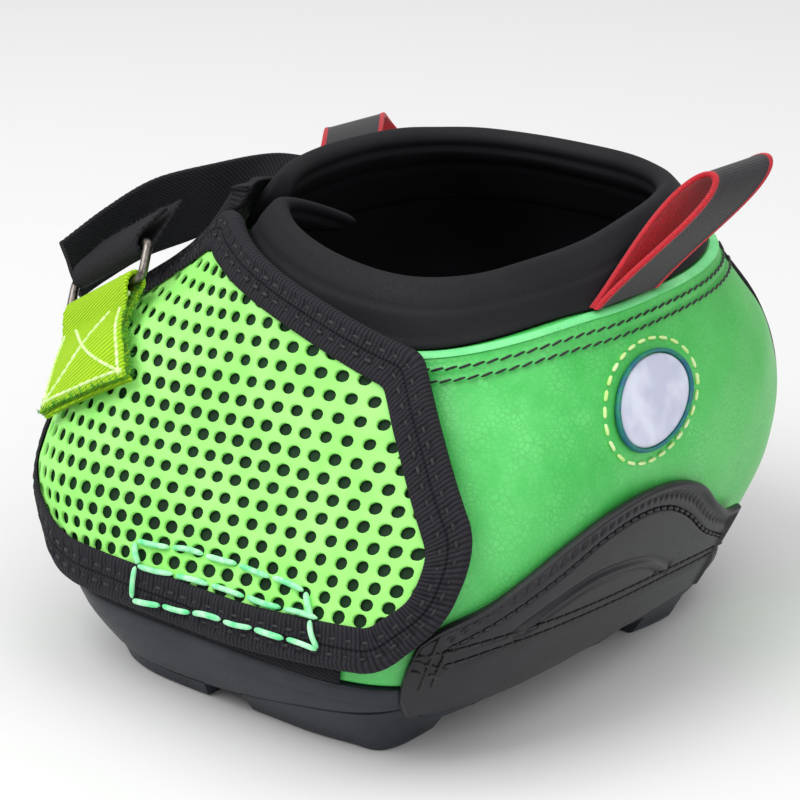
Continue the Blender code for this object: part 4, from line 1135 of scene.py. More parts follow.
def makeCollar():
    c = collarForm
    splitGap = c["splitGap"] / halfGirth(rimHeight)
    share = np.linspace(c["split"] + splitGap / 2, c["split"] + 2 - splitGap / 2, c["columns"])
    share = np.where(share > 1, share - 2, share)
    hem = hemAt(share * halfGirth(bootForm["hemFront"]))
    dips = smoothLine(np.array(c["nearDip"]), 400)
    rim = rimHeight - c["dip"] * np.cos(math.pi * share) ** 2 - np.interp(share, dips[:, 0], dips[:, 1])
    roll = ease(-share, -c["split"] - c["rollShare"], c["rollShare"]) * (share > c["split"])

    def at(height, lift, rise=0.0):
        rolled = roll * np.clip((height - hem) / (rim - hem), 0, 1) ** 1.3
        place = levelWall(share * halfGirth(height), height, lift - c["rollDepth"] * rolled)
        return place + np.stack([0 * share, 0 * share, rise - c["rollDrop"] * rolled], -1)

    tail, middle, r = hem - c["tail"], (hem + rim) / 2, c["roll"]
    controls = [
        at(tail, c["behind"]), at(hem - 0.0006, c["behind"]), at(hem + 0.0006, -c["groove"] - 0.0006),
        at(hem * 0.72 + rim * 0.28, -0.0010), at(middle, -0.0003), at(rim - r * 0.6, 0.0003),
        at(rim - r * 0.2, -r * 0.4, r * 0.6), at(rim, -r, r),
        at(rim, -r * 1.7, r * 0.5), at(rim - r * 0.6, -r * 2), at(middle, -c["inner"]),
        at(hem, -c["inner"]), at(tail, -c["inner"]),
    ]
    loops = roundRing(np.stack(controls, 1), c["section"])
    n, m = loops.shape[:2]
    q = np.arange(m)[None, :] / c["section"]
    girth = np.linspace(0, 1, n)[:, None]
    seams = 0.35 * groove(q - 5.15, 0.16) + groove(q - 8.6, 0.16) + 0.8 * groove(q - 10.1, 0.14)
    folds = np.sin(girth * 61 + np.sin(girth * 23) * 1.4) * 0.6 + np.sin(girth * 37 + 1.7) * 0.4
    soft = groove(q - 3.4, 1.2) * 0.00025 + groove(q - 7.2, 1.1) * 0.00020 + groove(q - 10.4, 1.0) * 0.00050
    ends = ease(np.minimum(np.arange(n), np.arange(n)[::-1]), 0, 8)[:, None]
    loops = swelled(loops, (folds * soft - 0.00075 * seams) * ends)
    middle3 = loops.mean(1, keepdims=True)
    close = np.minimum(np.arange(n), np.arange(n)[::-1])
    loops = middle3 + (loops - middle3) * (0.80 + 0.20 * np.sqrt(np.clip(1 - (1 - np.clip(close / 5, 0,
        1)) ** 2, 0, 1)))[:, None, None]
    collar = loftPiece("collarPad", loops, finishes["neoprene"])
    dress(collar, "boot", "black_neoprene", "collar")
    return loops


makeCollar()
print("collar dressed")


# front shield
def outlineAt(depth, turnSteps=16, runSteps=30):
    # the shield's outline drawn in by a depth, with the same stations at every depth
    corners = np.array(shieldForm["corners"])
    runs = unit(np.roll(corners, -1, 0) - corners)
    before = np.roll(runs, 1, 0)
    turn = np.maximum(np.arccos(np.clip((before * runs).sum(1), -1, 1)) / 2, 0.001)
    moved = corners + unit(runs - before) * (depth / np.cos(turn))[:, None]
    cuts = np.maximum(np.array(shieldForm["cuts"]) - depth * np.tan(turn), shieldForm["leastCut"])[:, None]
    enter, leave = moved - before * cuts, moved + runs * cuts
    t = np.linspace(0, 1, turnSteps)[None, :, None]
    bend = enter[:, None] * (1 - t) ** 2 + moved[:, None] * 2 * t * (1 - t) + leave[:, None] * t**2
    u = np.linspace(0, 1, runSteps + 2)[1:-1][None, :, None]
    straight = leave[:, None] * (1 - u) + np.roll(enter, -1, 0)[:, None] * u
    return np.concatenate([bend, straight], 1).reshape(-1, 2)


def stationsFor(count):
    line = outlineAt(shieldForm["tapeWidth"] / 2)
    closed = np.vstack([line, line[:1]])
    places = shieldWall(closed[:, 0], closed[:, 1], np.full(len(closed), 0.006))
    lengths = np.concatenate([[0], np.cumsum(np.linalg.norm(np.diff(places, axis=0), axis=1))])
    return np.interp(np.linspace(0, lengths[-1], count, endpoint=False), lengths,
                     np.arange(len(closed))), lengths[-1]


def outlineRow(depth, stations):
    line = outlineAt(depth)
    closed = np.vstack([line, line[:1]])
    return np.stack([np.interp(stations, np.arange(len(closed)), closed[:, k]) for k in (0, 1)], -1)


def depthInside(around, height):
    corners = np.array(shieldForm["corners"])
    runs = unit(np.roll(corners, -1, 0) - corners)
    flat = np.stack([around, height], -1)[..., None, :] - corners
    return (runs[:, 0] * flat[..., 1] - runs[:, 1] * flat[..., 0]).min(-1)


backLift = shieldForm["lift"] + shieldForm["tape"]
padLow = backLift + shieldForm["nest"]
padHigh = padLow + shieldForm["pad"]
faceLow = padHigh + shieldForm["nest"]
faceHigh = faceLow + shieldForm["face"]
frontLift = faceHigh + shieldForm["nest"]
topLift = frontLift + shieldForm["tape"]


def ringSheet(name, low, high, material, edge, rings, count):
    # a closed sheet between two lifts, in rings drawn in from the shield's outline
    stations = stationsFor(count)[0]
    rim = outlineRow(edge, stations)
    step = outlineRow(shieldForm["tapeWidth"], stations)
    centre = step.mean(0)
    lines = [rim, (rim + step) / 2] + [centre + (step - centre) * s for s in np.linspace(1, 0.02, rings)]
    front = [shieldWall(r[:, 0], r[:, 1], np.full(count, high)) for r in lines[::-1]]
    back = [shieldWall(r[:, 0], r[:, 1], np.full(count, low)) for r in lines]
    return loftPiece(name, np.array(front + back), material, sharp=60)


def makePadding():
    pad = ringSheet("shieldPadding", padLow, padHigh, finishes["backing"], shieldForm["tape"] + gap, 26,
                    300)
    dress(pad, "shield", "black_neoprene", "shield_pad")
    return pad


perforation = {
    "hole": 0.00164, "lip": 0.00014, "rim": 1.20, "shallow": 0.00022, "reach": 0.0060,
    "widths": ((-16, 1.00), (-7, 1.04), (-5, 1.14), (-2, 1.36), (0, 1.42), (4, 1.28), (7, 1.14),
               (12, 1.08)),
}
latticeForm = {
    "start": 0.0198, "pitch": 0.00647, "middle": 2.56, "bend": 0.0716, "shift": 0.00114, "bow": 0.00006,
    "spread": 0.0069, "flare": 0.00067, "base": 0.0921, "row": 0.00474, "level": 6.4, "rowBend": 0.0836,
    "tilt": 0.0745, "droop": 0.00000125, "droopRow": 7.2,
    "columnLimits": (-6.3, 9.0), "rowLimits": (-6.0, 8.5), "farPitch": 0.0044, "step": 0.01,
}


def bentLattice(i, j):
    # even columns and rows, drawn closer as the sheet bends away, and tilted, bowed and spread a little
    m = latticeForm
    turned = m["bend"] * np.sin((i - m["middle"]) * m["pitch"] / m["bend"])
    risen = m["rowBend"] * np.sin((j - m["level"]) * m["row"] / m["rowBend"])
    around = m["start"] + turned * (1 + m["spread"] * j + m["flare"]
                                    * j**2) + m["shift"] * j + m["bow"] * j**2
    height = m["base"] + risen + m["tilt"] * turned - m["droop"] * i**2 * (j + m["droopRow"])
    return around, height


def latticePlace(i, j):
    # past its limits the lattice runs on straight
    step = latticeForm["step"]
    ic, jc = np.clip(i, *latticeForm["columnLimits"]), np.clip(j, *latticeForm["rowLimits"])
    here, before, below = bentLattice(ic, jc), bentLattice(ic - step, jc), bentLattice(ic, jc - step)
    across = [(a - b) / step for a, b in zip(here, before)]
    upward = [(a - b) / step for a, b in zip(here, below)]
    across[0] = np.where(i < ic, latticeForm["farPitch"], across[0])
    return tuple(here[k] + across[k] * (i - ic) + upward[k] * (j - jc) for k in (0, 1))


def makeHoleCell():
    # one cell of the sheet round one hole: six rings of 12 places, marked by their z
    square = [(-0.5, -0.5), (-1 / 6, -0.5), (1 / 6, -0.5), (0.5, -0.5), (0.5, -1 / 6), (0.5, 1 / 6),
              (0.5, 0.5), (1 / 6, 0.5),
              (-1 / 6, 0.5), (-0.5, 0.5), (-0.5, 1 / 6), (-0.5, -1 / 6)]
    turned = [math.atan2(y, x) for x, y in square]
    rings = [[(x, y, 0) for x, y in square]]
    for mark, size in ((1, 0.36), (2, 0.30), (3, 0.26), (4, 0.26), (5, 0.36)):
        rings.append([(math.cos(a) * size, math.sin(a) * size, mark) for a in turned])
    rings.append([(x, y, 6) for x, y in square])
    vertices = [v for ring in rings for v in ring]
    faces = [(k * 12 + q, k * 12 + (q + 1) % 12, (k + 1) * 12 + (q + 1) % 12,
              (k + 1) * 12 + q) for k in range(6) for q in range(12)]
    mesh = bpy.data.meshes.new("holeCell")
    mesh.from_pydata(vertices, [], faces)
    cell = bpy.data.objects.new("holeCell", mesh)
    bpy.context.collection.objects.link(cell)
    return cell


def makeShieldMesh():
    i, j = np.meshgrid(np.arange(-16, 14), np.arange(-12, 16), indexing="ij")
    around, height = latticePlace(i.astype(float), j.astype(float))
    kept = (depthInside(around, height) > perforation["reach"]) & (height > 0.020) & (height < 0.119)
    spots = np.stack([i[kept], j[kept], np.zeros(kept.sum())], -1).astype(float)
    mesh = bpy.data.meshes.new("shieldMesh")
    mesh.from_pydata(spots.tolist(), [], [])
    piece = bpy.data.objects.new("shieldMesh", mesh)
    bpy.context.collection.objects.link(piece)
    cell = makeHoleCell()
    runTree(piece, holeTree, Cell=cell, Finish=finishes["lime"])
    bpy.data.objects.remove(cell, do_unlink=True)
    count = len(piece.data.vertices)
    place, home = np.zeros(count * 3), np.zeros(count * 3)
    piece.data.vertices.foreach_get("co", place)
    piece.data.attributes["cell"].data.foreach_get("vector", home)
    place, home = place.reshape(-1, 3), home.reshape(-1, 3)
    mark = np.rint(place[:, 2]).astype(int)
    a, h = latticePlace(place[:, 0], place[:, 1])
    ca, ch = latticePlace(home[:, 0], home[:, 1])
    reach = np.maximum(np.hypot(place[:, 0] - home[:, 0], place[:, 1] - home[:, 1]), 1e-6)
    x, y = (place[:, 0] - home[:, 0]) / reach, (place[:, 1] - home[:, 1]) / reach
    rise = np.linalg.norm(shieldWall(ca, ch + 0.0005, np.zeros(count))
                          - shieldWall(ca, ch - 0.0005, np.zeros(count)), axis=1) / 0.001
    hole, lip, rim = perforation["hole"], perforation["lip"], perforation["hole"] * perforation["rim"]
    size = np.array([0, rim, hole + lip, hole, hole, rim, 0])[mark]
    angle = np.arctan2(y, x)
    size = size * (1 + 0.045 * np.cos(6 * angle)) * (1 + 0.05
                                                     * np.sin(home[:, 0] * 12.9 + home[:, 1] * 7.3))
    inner = (mark > 0) & (mark < 6)
    widths = np.array(perforation["widths"])
    squeeze = np.interp(home[:, 0], widths[:, 0], widths[:, 1])
    size = size * (1 - 0.04 * np.cos(6 * angle))
    a = np.where(inner, ca + np.cos(angle) * size * squeeze, a)
    h = np.where(inner, ch + np.sin(angle) * size * 1.04 / rise, h)
    lift = np.array([faceHigh, faceHigh, faceHigh - 0.00004, faceHigh - perforation["shallow"], faceLow,
                     faceLow, faceLow])[mark]
    dimple = 0.00012 * np.sin(a * 620) * np.sin(h * 540)
    piece.data.vertices.foreach_set("co", shieldWall(a, h, lift + dimple).ravel())
    work = bmesh.new()
    work.from_mesh(piece.data)
    bmesh.ops.remove_doubles(work, verts=work.verts, dist=0.00002)
    loose = [e for e in work.edges if e.is_boundary]
    bmesh.ops.bridge_loops(work, edges=loose)
    bmesh.ops.recalc_face_normals(work, faces=work.faces)
    work.to_mesh(piece.data)
    work.free()
    piece.data.attributes.remove(piece.data.attributes["cell"])
    piece.data.materials.clear()
    piece.data.materials.append(finishes["lime"])
    piece.data.shade_smooth()
    piece.data.set_sharp_from_angle(angle=math.radians(60))
    dress(piece, "shield", "lime_face", "shield_face")
    print("perforations:", int(kept.sum()))


def makeBinding():
    look = {"columns": 1500, "seam": 0.0007}
    w, low, high = shieldForm["tapeWidth"], shieldForm["lift"], topLift
    middle = (low + high) / 2
    profile = [(w - 0.0002, low), (w * 0.66, low), (w * 0.33, low), (0.0018, low), (0.0008, low + 0.0005),
               (0.0002, low + 0.0015),
               (0.0, middle), (0.0002, high - 0.0015), (0.0008, high - 0.0005), (0.0018, high),
               (w * 0.24, high + 0.0001),
               (w * 0.33, high - 0.0003), (w * 0.40, high), (w * 0.46, high - 0.0001),
               (w * 0.5, high - look["seam"]), (w * 0.54, high - 0.0001),
               (w * 0.60, high), (w * 0.68, high - 0.0003), (w * 0.78, high + 0.0001),
               (w - 0.0007, high - 0.0001), (w - 0.0001, high - 0.0005),
               (w, frontLift + 0.0001), (w * 0.6, frontLift), (shieldForm["tape"], frontLift),
               (shieldForm["tape"], backLift), (w * 0.6, backLift), (w, backLift), (w, low + 0.0003)]
    stations, length = stationsFor(look["columns"])
    s = np.linspace(0, length, look["columns"], endpoint=False)
    loops = []
    for k, (depth, lift) in enumerate(profile):
        row = outlineRow(depth, stations)
        wander = 0.00022 * np.sin(s * 330 + np.sin(s * 90)) + 0.00018 * np.sin(s * 151
                                                                               + 1.1) if 8 < k < 21 else 0.0
        if k in (10, 11, 12, 16, 17, 18):
            wander = wander - 0.0005 * np.cos(math.pi * s / 0.0045) ** 4
        loops.append(shieldWall(row[:, 0], row[:, 1], np.full(len(s), lift) + wander))
    across = np.concatenate([[0], np.cumsum([math.hypot(b[0] - a[0], b[1] - a[1]) for a, b in zip(profile,
        profile[1:] + profile[:1])])])
    binding = loftPiece("shieldBinding", np.stack(loops, 1), finishes["binding"], along=s, across=across,
                        closedPath=True, sharp=60)
    dress(binding, "shield", "black_tape", "shield_binding")
    holes = []
    for share in (0.335, 0.67):
        row = outlineRow(w * share, stationsFor(600)[0])
        row = np.vstack([row, row[:1]])
        holes.append((shieldWall(row[:, 0], row[:, 1], np.full(601, high - 0.0006)),
                      wallNormal(row[:, 0], row[:, 1])))
    stitchPiece("bindingStitches", holes, "shield", "black_tape", "blackThread", 0.0045, 0.0023, 0.00052)


def makeHingeWeb():
    low = bootForm["toeWallTop"] + gap
    s, t = np.linspace(0, 1, 120), softShares(0.011, 0.0006, 30)
    around = np.broadcast_to((0.044 * (2 * s - 1))[:, None], (120, len(t)))
    height = np.broadcast_to(low + 0.011 * t, (120, len(t)))
    web = roundedShell("hingeWebbing", around.copy(), height.copy(), levelWall, gap - bootForm["panelSink"],
                       shieldForm["lift"] - 0.0008, 0.0006,
                       finishes["webbing"])
    dress(web, "boot", "black_tape", "hinge_web")


def makeToeThreads():
    look = {"radius": 0.00078, "gap": 0.0011, "arch": 0.0007, "sides": 12}
    top, middle, low = (-25.7, 41.4), (-22.5, 36.5), (-21.2, 29.3)
    farTop, farMiddle, farLow = (31.6, 43.4), (38.5, 38.5), (41, 32.7)
    rows = [(5, (top, (-12, 42.9), (0.8, 43.8), (16, 43.9), farTop)),
            (5, (middle, (-6, 37.4), (9.8, 37.9), (25, 38.3), farMiddle)),
            (6, (low, (-4, 30.9), (12.5, 32), (27, 32.6), farLow)), (1, (top, middle)), (1, (middle, low)),
            (2, (farTop, farLow))]
    count = 0
    pieces = []
    for amount, row in rows:
        places = smoothLine(np.array(row) / 1000, 160)
        depth = depthInside(places[:, 0], places[:, 1])
        bed = topLift - (topLift - faceHigh) * ease(depth, shieldForm["tapeWidth"] - 0.0004, 0.0012)
        spots = shieldWall(places[:, 0], places[:, 1], bed)
        offs = wallNormal(places[:, 0], places[:, 1])
        gone = np.concatenate([[0], np.cumsum(np.linalg.norm(np.diff(spots, axis=0), axis=1))])
        pitch = gone[-1] / amount
        for k in range(amount):
            count += 1
            t = np.linspace(0, 1, 17)
            at = pitch * k + look["gap"] / 2 + (pitch - look["gap"]) * t
            spot = np.stack([np.interp(at, gone, spots[:, q]) for q in range(3)], -1)
            off = unit(np.stack([np.interp(at, gone, offs[:, q]) for q in range(3)], -1))
            across = unit(np.cross(np.gradient(spot, axis=0), off))
            sway = 0.00035 * np.sin(count * 2.3) * np.sin(math.pi * t) + 0.0003 * np.sin(count * 1.7) * (t
                - 0.5)
            line = spot + off * (look["radius"] * 0.55 + look["arch"] * np.sin(math.pi * t) ** 0.6)[:,
                None] + across * sway[:, None]
            thick = look["radius"] * (1 + 0.10 * np.sin(count * 3.1)) * np.sqrt(np.clip(1 - np.abs(2 * t
                - 1) ** 7, 0.12, 1))
            run = unit(np.gradient(line, axis=0))
            side = unit(np.cross(run, off))
            up = np.cross(side, run)
            angle = np.linspace(0, 2 * math.pi, look["sides"], endpoint=False)
            circle = np.cos(angle)[None, :, None] * side[:, None] + np.sin(angle)[None, :, None] * up[:,
                                                                                                      None]
            pieces.append(line[:, None] + circle * thick[:, None, None])
    vertices, faces = [], []
    for loops in pieces:
        base, (ringCount, sides) = len(vertices), loops.shape[:2]
        vertices.extend(loops.reshape(-1, 3).tolist())
        for a in range(ringCount - 1):
            for b in range(sides):
                c = (b + 1) % sides
                faces.append((base + a * sides + b, base + a * sides + c, base + (a + 1) * sides + c,
                              base + (a + 1) * sides + b))
        faces.append(tuple(base + b for b in reversed(range(sides))))
        faces.append(tuple(base + (ringCount - 1) * sides + b for b in range(sides)))
    threads = finishMesh("toeThreads", vertices, faces, finishes["mintThread"])
    dress(threads, "shield", "lime_webbing")


makePadding()
makeShieldMesh()
makeBinding()
makeHingeWeb()
makeToeThreads()
print("shield dressed")


# strap parts at the right front, on a frame tangent to the shield
strapForm = {"around": -0.0680, "facing": -0.0600, "footReach": 0.0270, "gap": 0.0012,
             "keeperWidth": 0.0340, "web": 0.0014,
             "height": 0.0820, "wire": 0.0013, "long": 0.0395, "short": 0.0105, "corner": 0.0030,
             "lean": 0.0030, "foldGap": 0.0005,
             "tilt": 0.72, "skew": 0.15, "restLift": 0.0105, "bendStart": 0.006, "bendLength": 0.014,
             "strapWidth": 0.0350,
             "innerLeg": 0.0170, "outerLeg": 0.0125}
frameNormal = wallNormal(strapForm["facing"], strapForm["height"])
frameSlant = math.sqrt(1 - frameNormal[2] ** 2)
frameLevel = unit(np.cross([0.0, 0.0, 1.0], frameNormal))
frameLevel = frameLevel * np.sign(frameLevel[1])
frameUp = np.cross(frameNormal, frameLevel)
frameUp = frameUp * np.sign(frameUp[2])
frameOrigin = shieldWall(strapForm["around"], strapForm["height"])


def strapPoint(across, along, lift):
    across, along, lift = np.broadcast_arrays(across, along, lift)
    rear = across * math.cos(strapForm["tilt"]) + along * math.sin(strapForm["tilt"] - strapForm["skew"])
    rise = along * math.cos(strapForm["tilt"] - strapForm["skew"]) - across * math.sin(strapForm["tilt"])
    flat = frameOrigin + frameLevel * rear[..., None] + frameUp * rise[..., None] + frameNormal * lift[...,
                                                                                                       None]
    near = ease(-along, strapForm["bendStart"], strapForm["bendLength"])[..., None]
    return flat * (1 - near) + shieldWall(strapForm["around"] - rear,
                                          strapForm["height"] + rise * frameSlant, lift) * near


def foldArc(centre, radius, sweep, turns=14):
    angle = sweep * np.arange(turns + 1) / turns
    return np.stack([centre[0] + radius * np.sin(angle), centre[1] - radius * np.cos(angle)], -1).tolist()


def webPiece(name, line, width, thick, material, rows, seed=0.0):
    # a flat web whose middle follows line, places along the frame and off it
    line = smoothLine(line, rows)
    run = unit(np.gradient(line, axis=0))
    off = np.stack([-run[:, 1], run[:, 0]], -1) * thick / 2
    shares = softShares(width, thick * 0.6, 22, 4) - 0.5
    softened = np.sqrt(np.clip(1 - np.clip((np.abs(shares) - 0.5) * width / (thick * 0.55) + 1, 0, 1) ** 2,
                               0.03, 1))
    steps = np.concatenate([[0], np.cumsum(np.linalg.norm(np.diff(line, axis=0), axis=1))])
    frayed = 0.00022 * np.sin(steps * 2600 + seed) + 0.00016 * np.sin(steps * 4300 + seed * 2)
    loops = []
    for sign, s, r in ((1, shares, softened), (-1, shares[::-1], softened[::-1])):
        spread = width * s[None, :] + np.sign(s)[None, :] * frayed[:, None] * (np.abs(s) > 0.45)
        loops.append(strapPoint(spread, line[:, :1] + sign * off[:, :1] * r,
                                line[:, 1:] + sign * off[:, 1:] * r))
    loops = np.concatenate(loops, 1)
    across = np.concatenate([shares * width + width / 2, width + thick + (width / 2 - shares[::-1] * width),
                             [2 * (width + thick)]])
    return loftPiece(name, loops, material, along=steps, across=across, sharp=60), line


keeperLow = topLift + strapForm["gap"] + strapForm["web"] / 2
foldRadius = strapForm["wire"] + strapForm["foldGap"] + strapForm["web"] / 2
lowerBar = (0.0, keeperLow + foldRadius)
upperBar = (strapForm["short"], lowerBar[1] + strapForm["lean"])
keeperOuter = keeperLow + strapForm["web"] + gap


def makeKeeper():
    reach = -strapForm["footReach"]
    line = [(reach, keeperLow)] + [(reach * s, keeperLow) for s in (0.75, 0.5, 0.25)]
    line += foldArc(lowerBar, foldRadius, math.pi)
    line += [(reach * s, keeperOuter) for s in (0.35, 0.5, 0.75, 0.985)]
    keeper = webPiece("keeperWebbing", line, strapForm["keeperWidth"], strapForm["web"],
                            finishes["limeWebbing"], 170)[0]
    dress(keeper, "shield", "lime_webbing", "keeper_loop")
    top = keeperOuter + strapForm["web"] / 2
    half, near, far = strapForm["keeperWidth"] / 2 - 0.0020, -0.0040, reach * 0.985 + 0.0020
    corners = [(-half, near), (half, near), (half, far), (-half, far)]
    routes = [(corners[k], corners[(k + 1) % 4]) for k in range(4)] + [(corners[0], corners[2]),
                                                                       (corners[1], corners[3])]
    lines = []
    for start, end in routes:
        t = np.linspace(0, 1, 90)[:, None]
        flat = np.array(start) * (1 - t) + np.array(end) * t
        places = strapPoint(flat[:, 0], flat[:, 1], np.full(90, top))
        above = strapPoint(flat[:, 0], flat[:, 1], np.full(90, top + 0.001))
        lines.append((places, unit(above - places)))
    stitchPiece("keeperStitches", lines, "shield", "lime_webbing", "limeThread", 0.0026, 0.0027, 0.00055)
    edges = []
    for lift in (keeperOuter - strapForm["web"] * 0.6, keeperOuter + strapForm["web"] * 0.6):
        flat = np.linspace(-strapForm["keeperWidth"] / 2, strapForm["keeperWidth"] / 2, 60)
        edges.append(strapPoint(flat, np.full(60, reach * 0.985 - 0.0001), np.full(60, lift)))
    fibrePiece("keeperFray", np.array(edges), "shield", "lime_webbing", "greenFuzz", 9e6, 0.0016, 0.00012,
               3)
    sides = []
    for lift in (keeperLow - strapForm["web"] * 0.5, keeperOuter + strapForm["web"] * 0.5):
        along = np.linspace(reach * 0.985, -0.001, 60)
        sides.append(strapPoint(np.full(60, -strapForm["keeperWidth"] / 2 - 0.00012), along,
                                np.full(60, lift)))
    fibrePiece("keeperFuzz", np.array(sides), "shield", "lime_webbing", "greenFuzz", 5e6, 0.0013, 0.0001, 4)


def makeRing():
    half = strapForm["long"] / 2
    flats = [(-half, lowerBar), (half, lowerBar), (half, upperBar), (-half, upperBar)]
    corners = [strapFlat(a, bar[0], bar[1]) for a, bar in flats]
    path = []
    for k in range(4):
        corner, before, after = corners[k], corners[k - 1], corners[(k + 1) % 4]
        enter, leave = corner + unit(before - corner) * strapForm["corner"], corner + unit(after
            - corner) * strapForm["corner"]
        for t in np.linspace(0, 1, 9):
            path.append(enter * (1 - t) ** 2 + corner * 2 * t * (1 - t) + leave * t**2)
        arrive = after + unit(corner - after) * strapForm["corner"]
        path += [leave + (arrive - leave) * t for t in np.linspace(0, 1, 10)[1:-1]]
    path = np.array(path)
    plane = unit(np.cross(corners[1] - corners[0], corners[3] - corners[0]))
    run = unit(np.roll(path, -1, 0) - np.roll(path, 1, 0))
    side = np.cross(run, plane)
    angle = np.linspace(0, 2 * math.pi, 16, endpoint=False)
    loops = path[:, None] + (side[:, None] * np.cos(angle)[None, :, None] + plane
                             * np.sin(angle)[None, :, None]) * strapForm["wire"]
    ring = loftPiece("wireRing", loops, finishes["wire"], closedPath=True)
    dress(ring, "ring", "ring_steel", "strap_ring")


def strapFlat(across, along, lift):
    rear = across * math.cos(strapForm["tilt"]) + along * math.sin(strapForm["tilt"] - strapForm["skew"])
    rise = along * math.cos(strapForm["tilt"] - strapForm["skew"]) - across * math.sin(strapForm["tilt"])
    return frameOrigin + frameLevel * rear + frameUp * rise + frameNormal * lift


def makeStrap():
    low = upperBar[1] - foldRadius
    rest = strapForm["restLift"]
    line = [(upperBar[0] + strapForm["innerLeg"], rest), (upperBar[0] + strapForm["innerLeg"] / 2,
                                                          (rest + low) / 2)]
    line += foldArc(upperBar, foldRadius, -math.pi)
    outer = rest + strapForm["web"] + 0.0008
    line += [(upperBar[0] + strapForm["innerLeg"] / 2, (outer + low + 2 * foldRadius) / 2),
             (upperBar[0] + strapForm["outerLeg"], outer + 0.0008)]
    strap, points = webPiece("strapWebbing", line, strapForm["strapWidth"], strapForm["web"],
                                  finishes["webbing"], 150, 1.0)
    dress(strap, "strap", "black_tape", "closure_strap")
    edge = []
    for lift in (-0.8, 0.8):
        flat = np.linspace(-strapForm["strapWidth"] / 2, strapForm["strapWidth"] / 2, 60)
        edge.append(strapPoint(flat, np.full(60, points[-1, 0]),
                               np.full(60, points[-1, 1] + lift * strapForm["web"] / 2)))
    fibrePiece("strapFray", np.array(edge), "strap", "black_tape", "fuzz", 5e6, 0.0014, 0.0001, 5)


def makeStrapBase():
    s, t = np.linspace(0, 1, 80), softShares(0.021, 0.0008, 30)
    s, t = np.broadcast_arrays(s[:, None], t[None, :])
    around = -0.0500 - 0.0440 * s
    low = np.maximum(0.1168 - 1.2 * 0.0440 * s, 0.0925)
    height = low + (0.1222 - 0.0090 * s - low) * t
    lean = 0.0016 * np.sin(s * 9 + t * 2) + 0.0022 * (1 - s) * t
    band = roundedShell("strapBase", around.copy(), height.copy(), levelWall, 0.0036, 0.0060, 0.0008,
                        finishes["hook"], relief=lean)
    dress(band, "boot", "black_neoprene")


makeKeeper()
makeRing()
makeStrap()
makeStrapBase()
print("strap dressed")


# hook strip
hookForm = {"lean": 0.12, "thick": 0.0018, "width": 0.0230, "rearAround": -0.0905, "height": 0.1120,
            "lift": 0.0006, "point": 0.0095,
            "line": ((-0.888, 0.114, 0.921), (-1.031, 0.0, 0.885), (-1.160, -0.130, 0.850),
                     (-1.212, -0.293, 0.806), (-1.225, -0.489, 0.756))}


def makeHook():
    k = hookForm
    rear = levelWall(k["rearAround"], k["height"], k["lift"])
    scale = np.array([bootForm["width"] / 2, bootForm["toe"], rimHeight])
    middles = np.vstack([rear[None], np.array(k["line"]) * scale])
    slope = unit(wall(k["rearAround"], k["height"] + 0.0015) - wall(k["rearAround"], k["height"] - 0.0015))
    dense = smoothLine(middles, 200)
    lengths = np.concatenate([[0], np.cumsum(np.linalg.norm(np.diff(dense, axis=0), axis=1))])
    total = lengths[-1]
    rows, shares = 110, softShares(k["width"], 0.0009, 16, 4) - 0.5
    u = np.concatenate([np.linspace(0, 0.9, rows - 20), np.linspace(0.9, 1, 21)[1:]])
    loops = []
    for face, order in ((1, shares), (-1, shares[::-1])):
        for t in order:
            at = u * (total - k["point"] * (0.5 - t))
            middle = np.stack([np.interp(at, lengths, dense[:, q]) for q in range(3)], -1)
            ahead = np.stack([np.interp(np.minimum(at + 0.001, total), lengths,
                                        dense[:, q]) for q in range(3)], -1)
            behind = np.stack([np.interp(np.maximum(at - 0.001, 0), lengths,
                                         dense[:, q]) for q in range(3)], -1)
            along = unit(ahead - behind)
            blend = np.minimum(2 * at / total, 1)[:, None]
            up = unit(slope * (1 - blend) + np.array([0.0, 0.0, 1.0]) * blend)
            out = unit(np.cross(up, along))
            out = out * np.sign((out * middle * np.array([1.0, 1.0, 0.0])).sum(-1, keepdims=True))
            tip = k["lean"] * ease(at, 0.010, total - 0.010)[:, None]
            up, out = up * np.cos(tip) - out * np.sin(tip), out * np.cos(tip) + up * np.sin(tip)
            edge = 1 - np.clip((0.5 - abs(t)) * k["width"] / 0.0010, 0, 1)
            full = math.sqrt(max(1 - edge**2, 0.05))
            nap = 0.00014 * np.sin(at * 3100 + t * 60) * (face > 0)
            loops.append(middle + up * (k["width"] * t) + out
                         * (k["thick"] / 2 * face * full + nap)[:, None])
    loops = np.stack(loops, 1)
    strip = loftPiece("hookStrip", loops, finishes["hook"], sharp=60)
    dress(strip, "hook", "black_neoprene", "hook_strip")
    m = len(shares)
    fibrePiece("hookNap", loops[2:-2, 1:m - 1], "hook", "black_neoprene", "fuzz", 1.1e6, 0.0011, 0.00009, 6)


makeHook()
print("hook dressed")


# pull tabs
tabForm = {"width": 0.0260, "length": 0.0500, "belly": 0.0100, "thick": 0.0011, "seat": -0.0010,
           1: (0.37, 1.40, 0.10, 0.20), -1: (0.50, 1.50, 0.75, 1.75)}


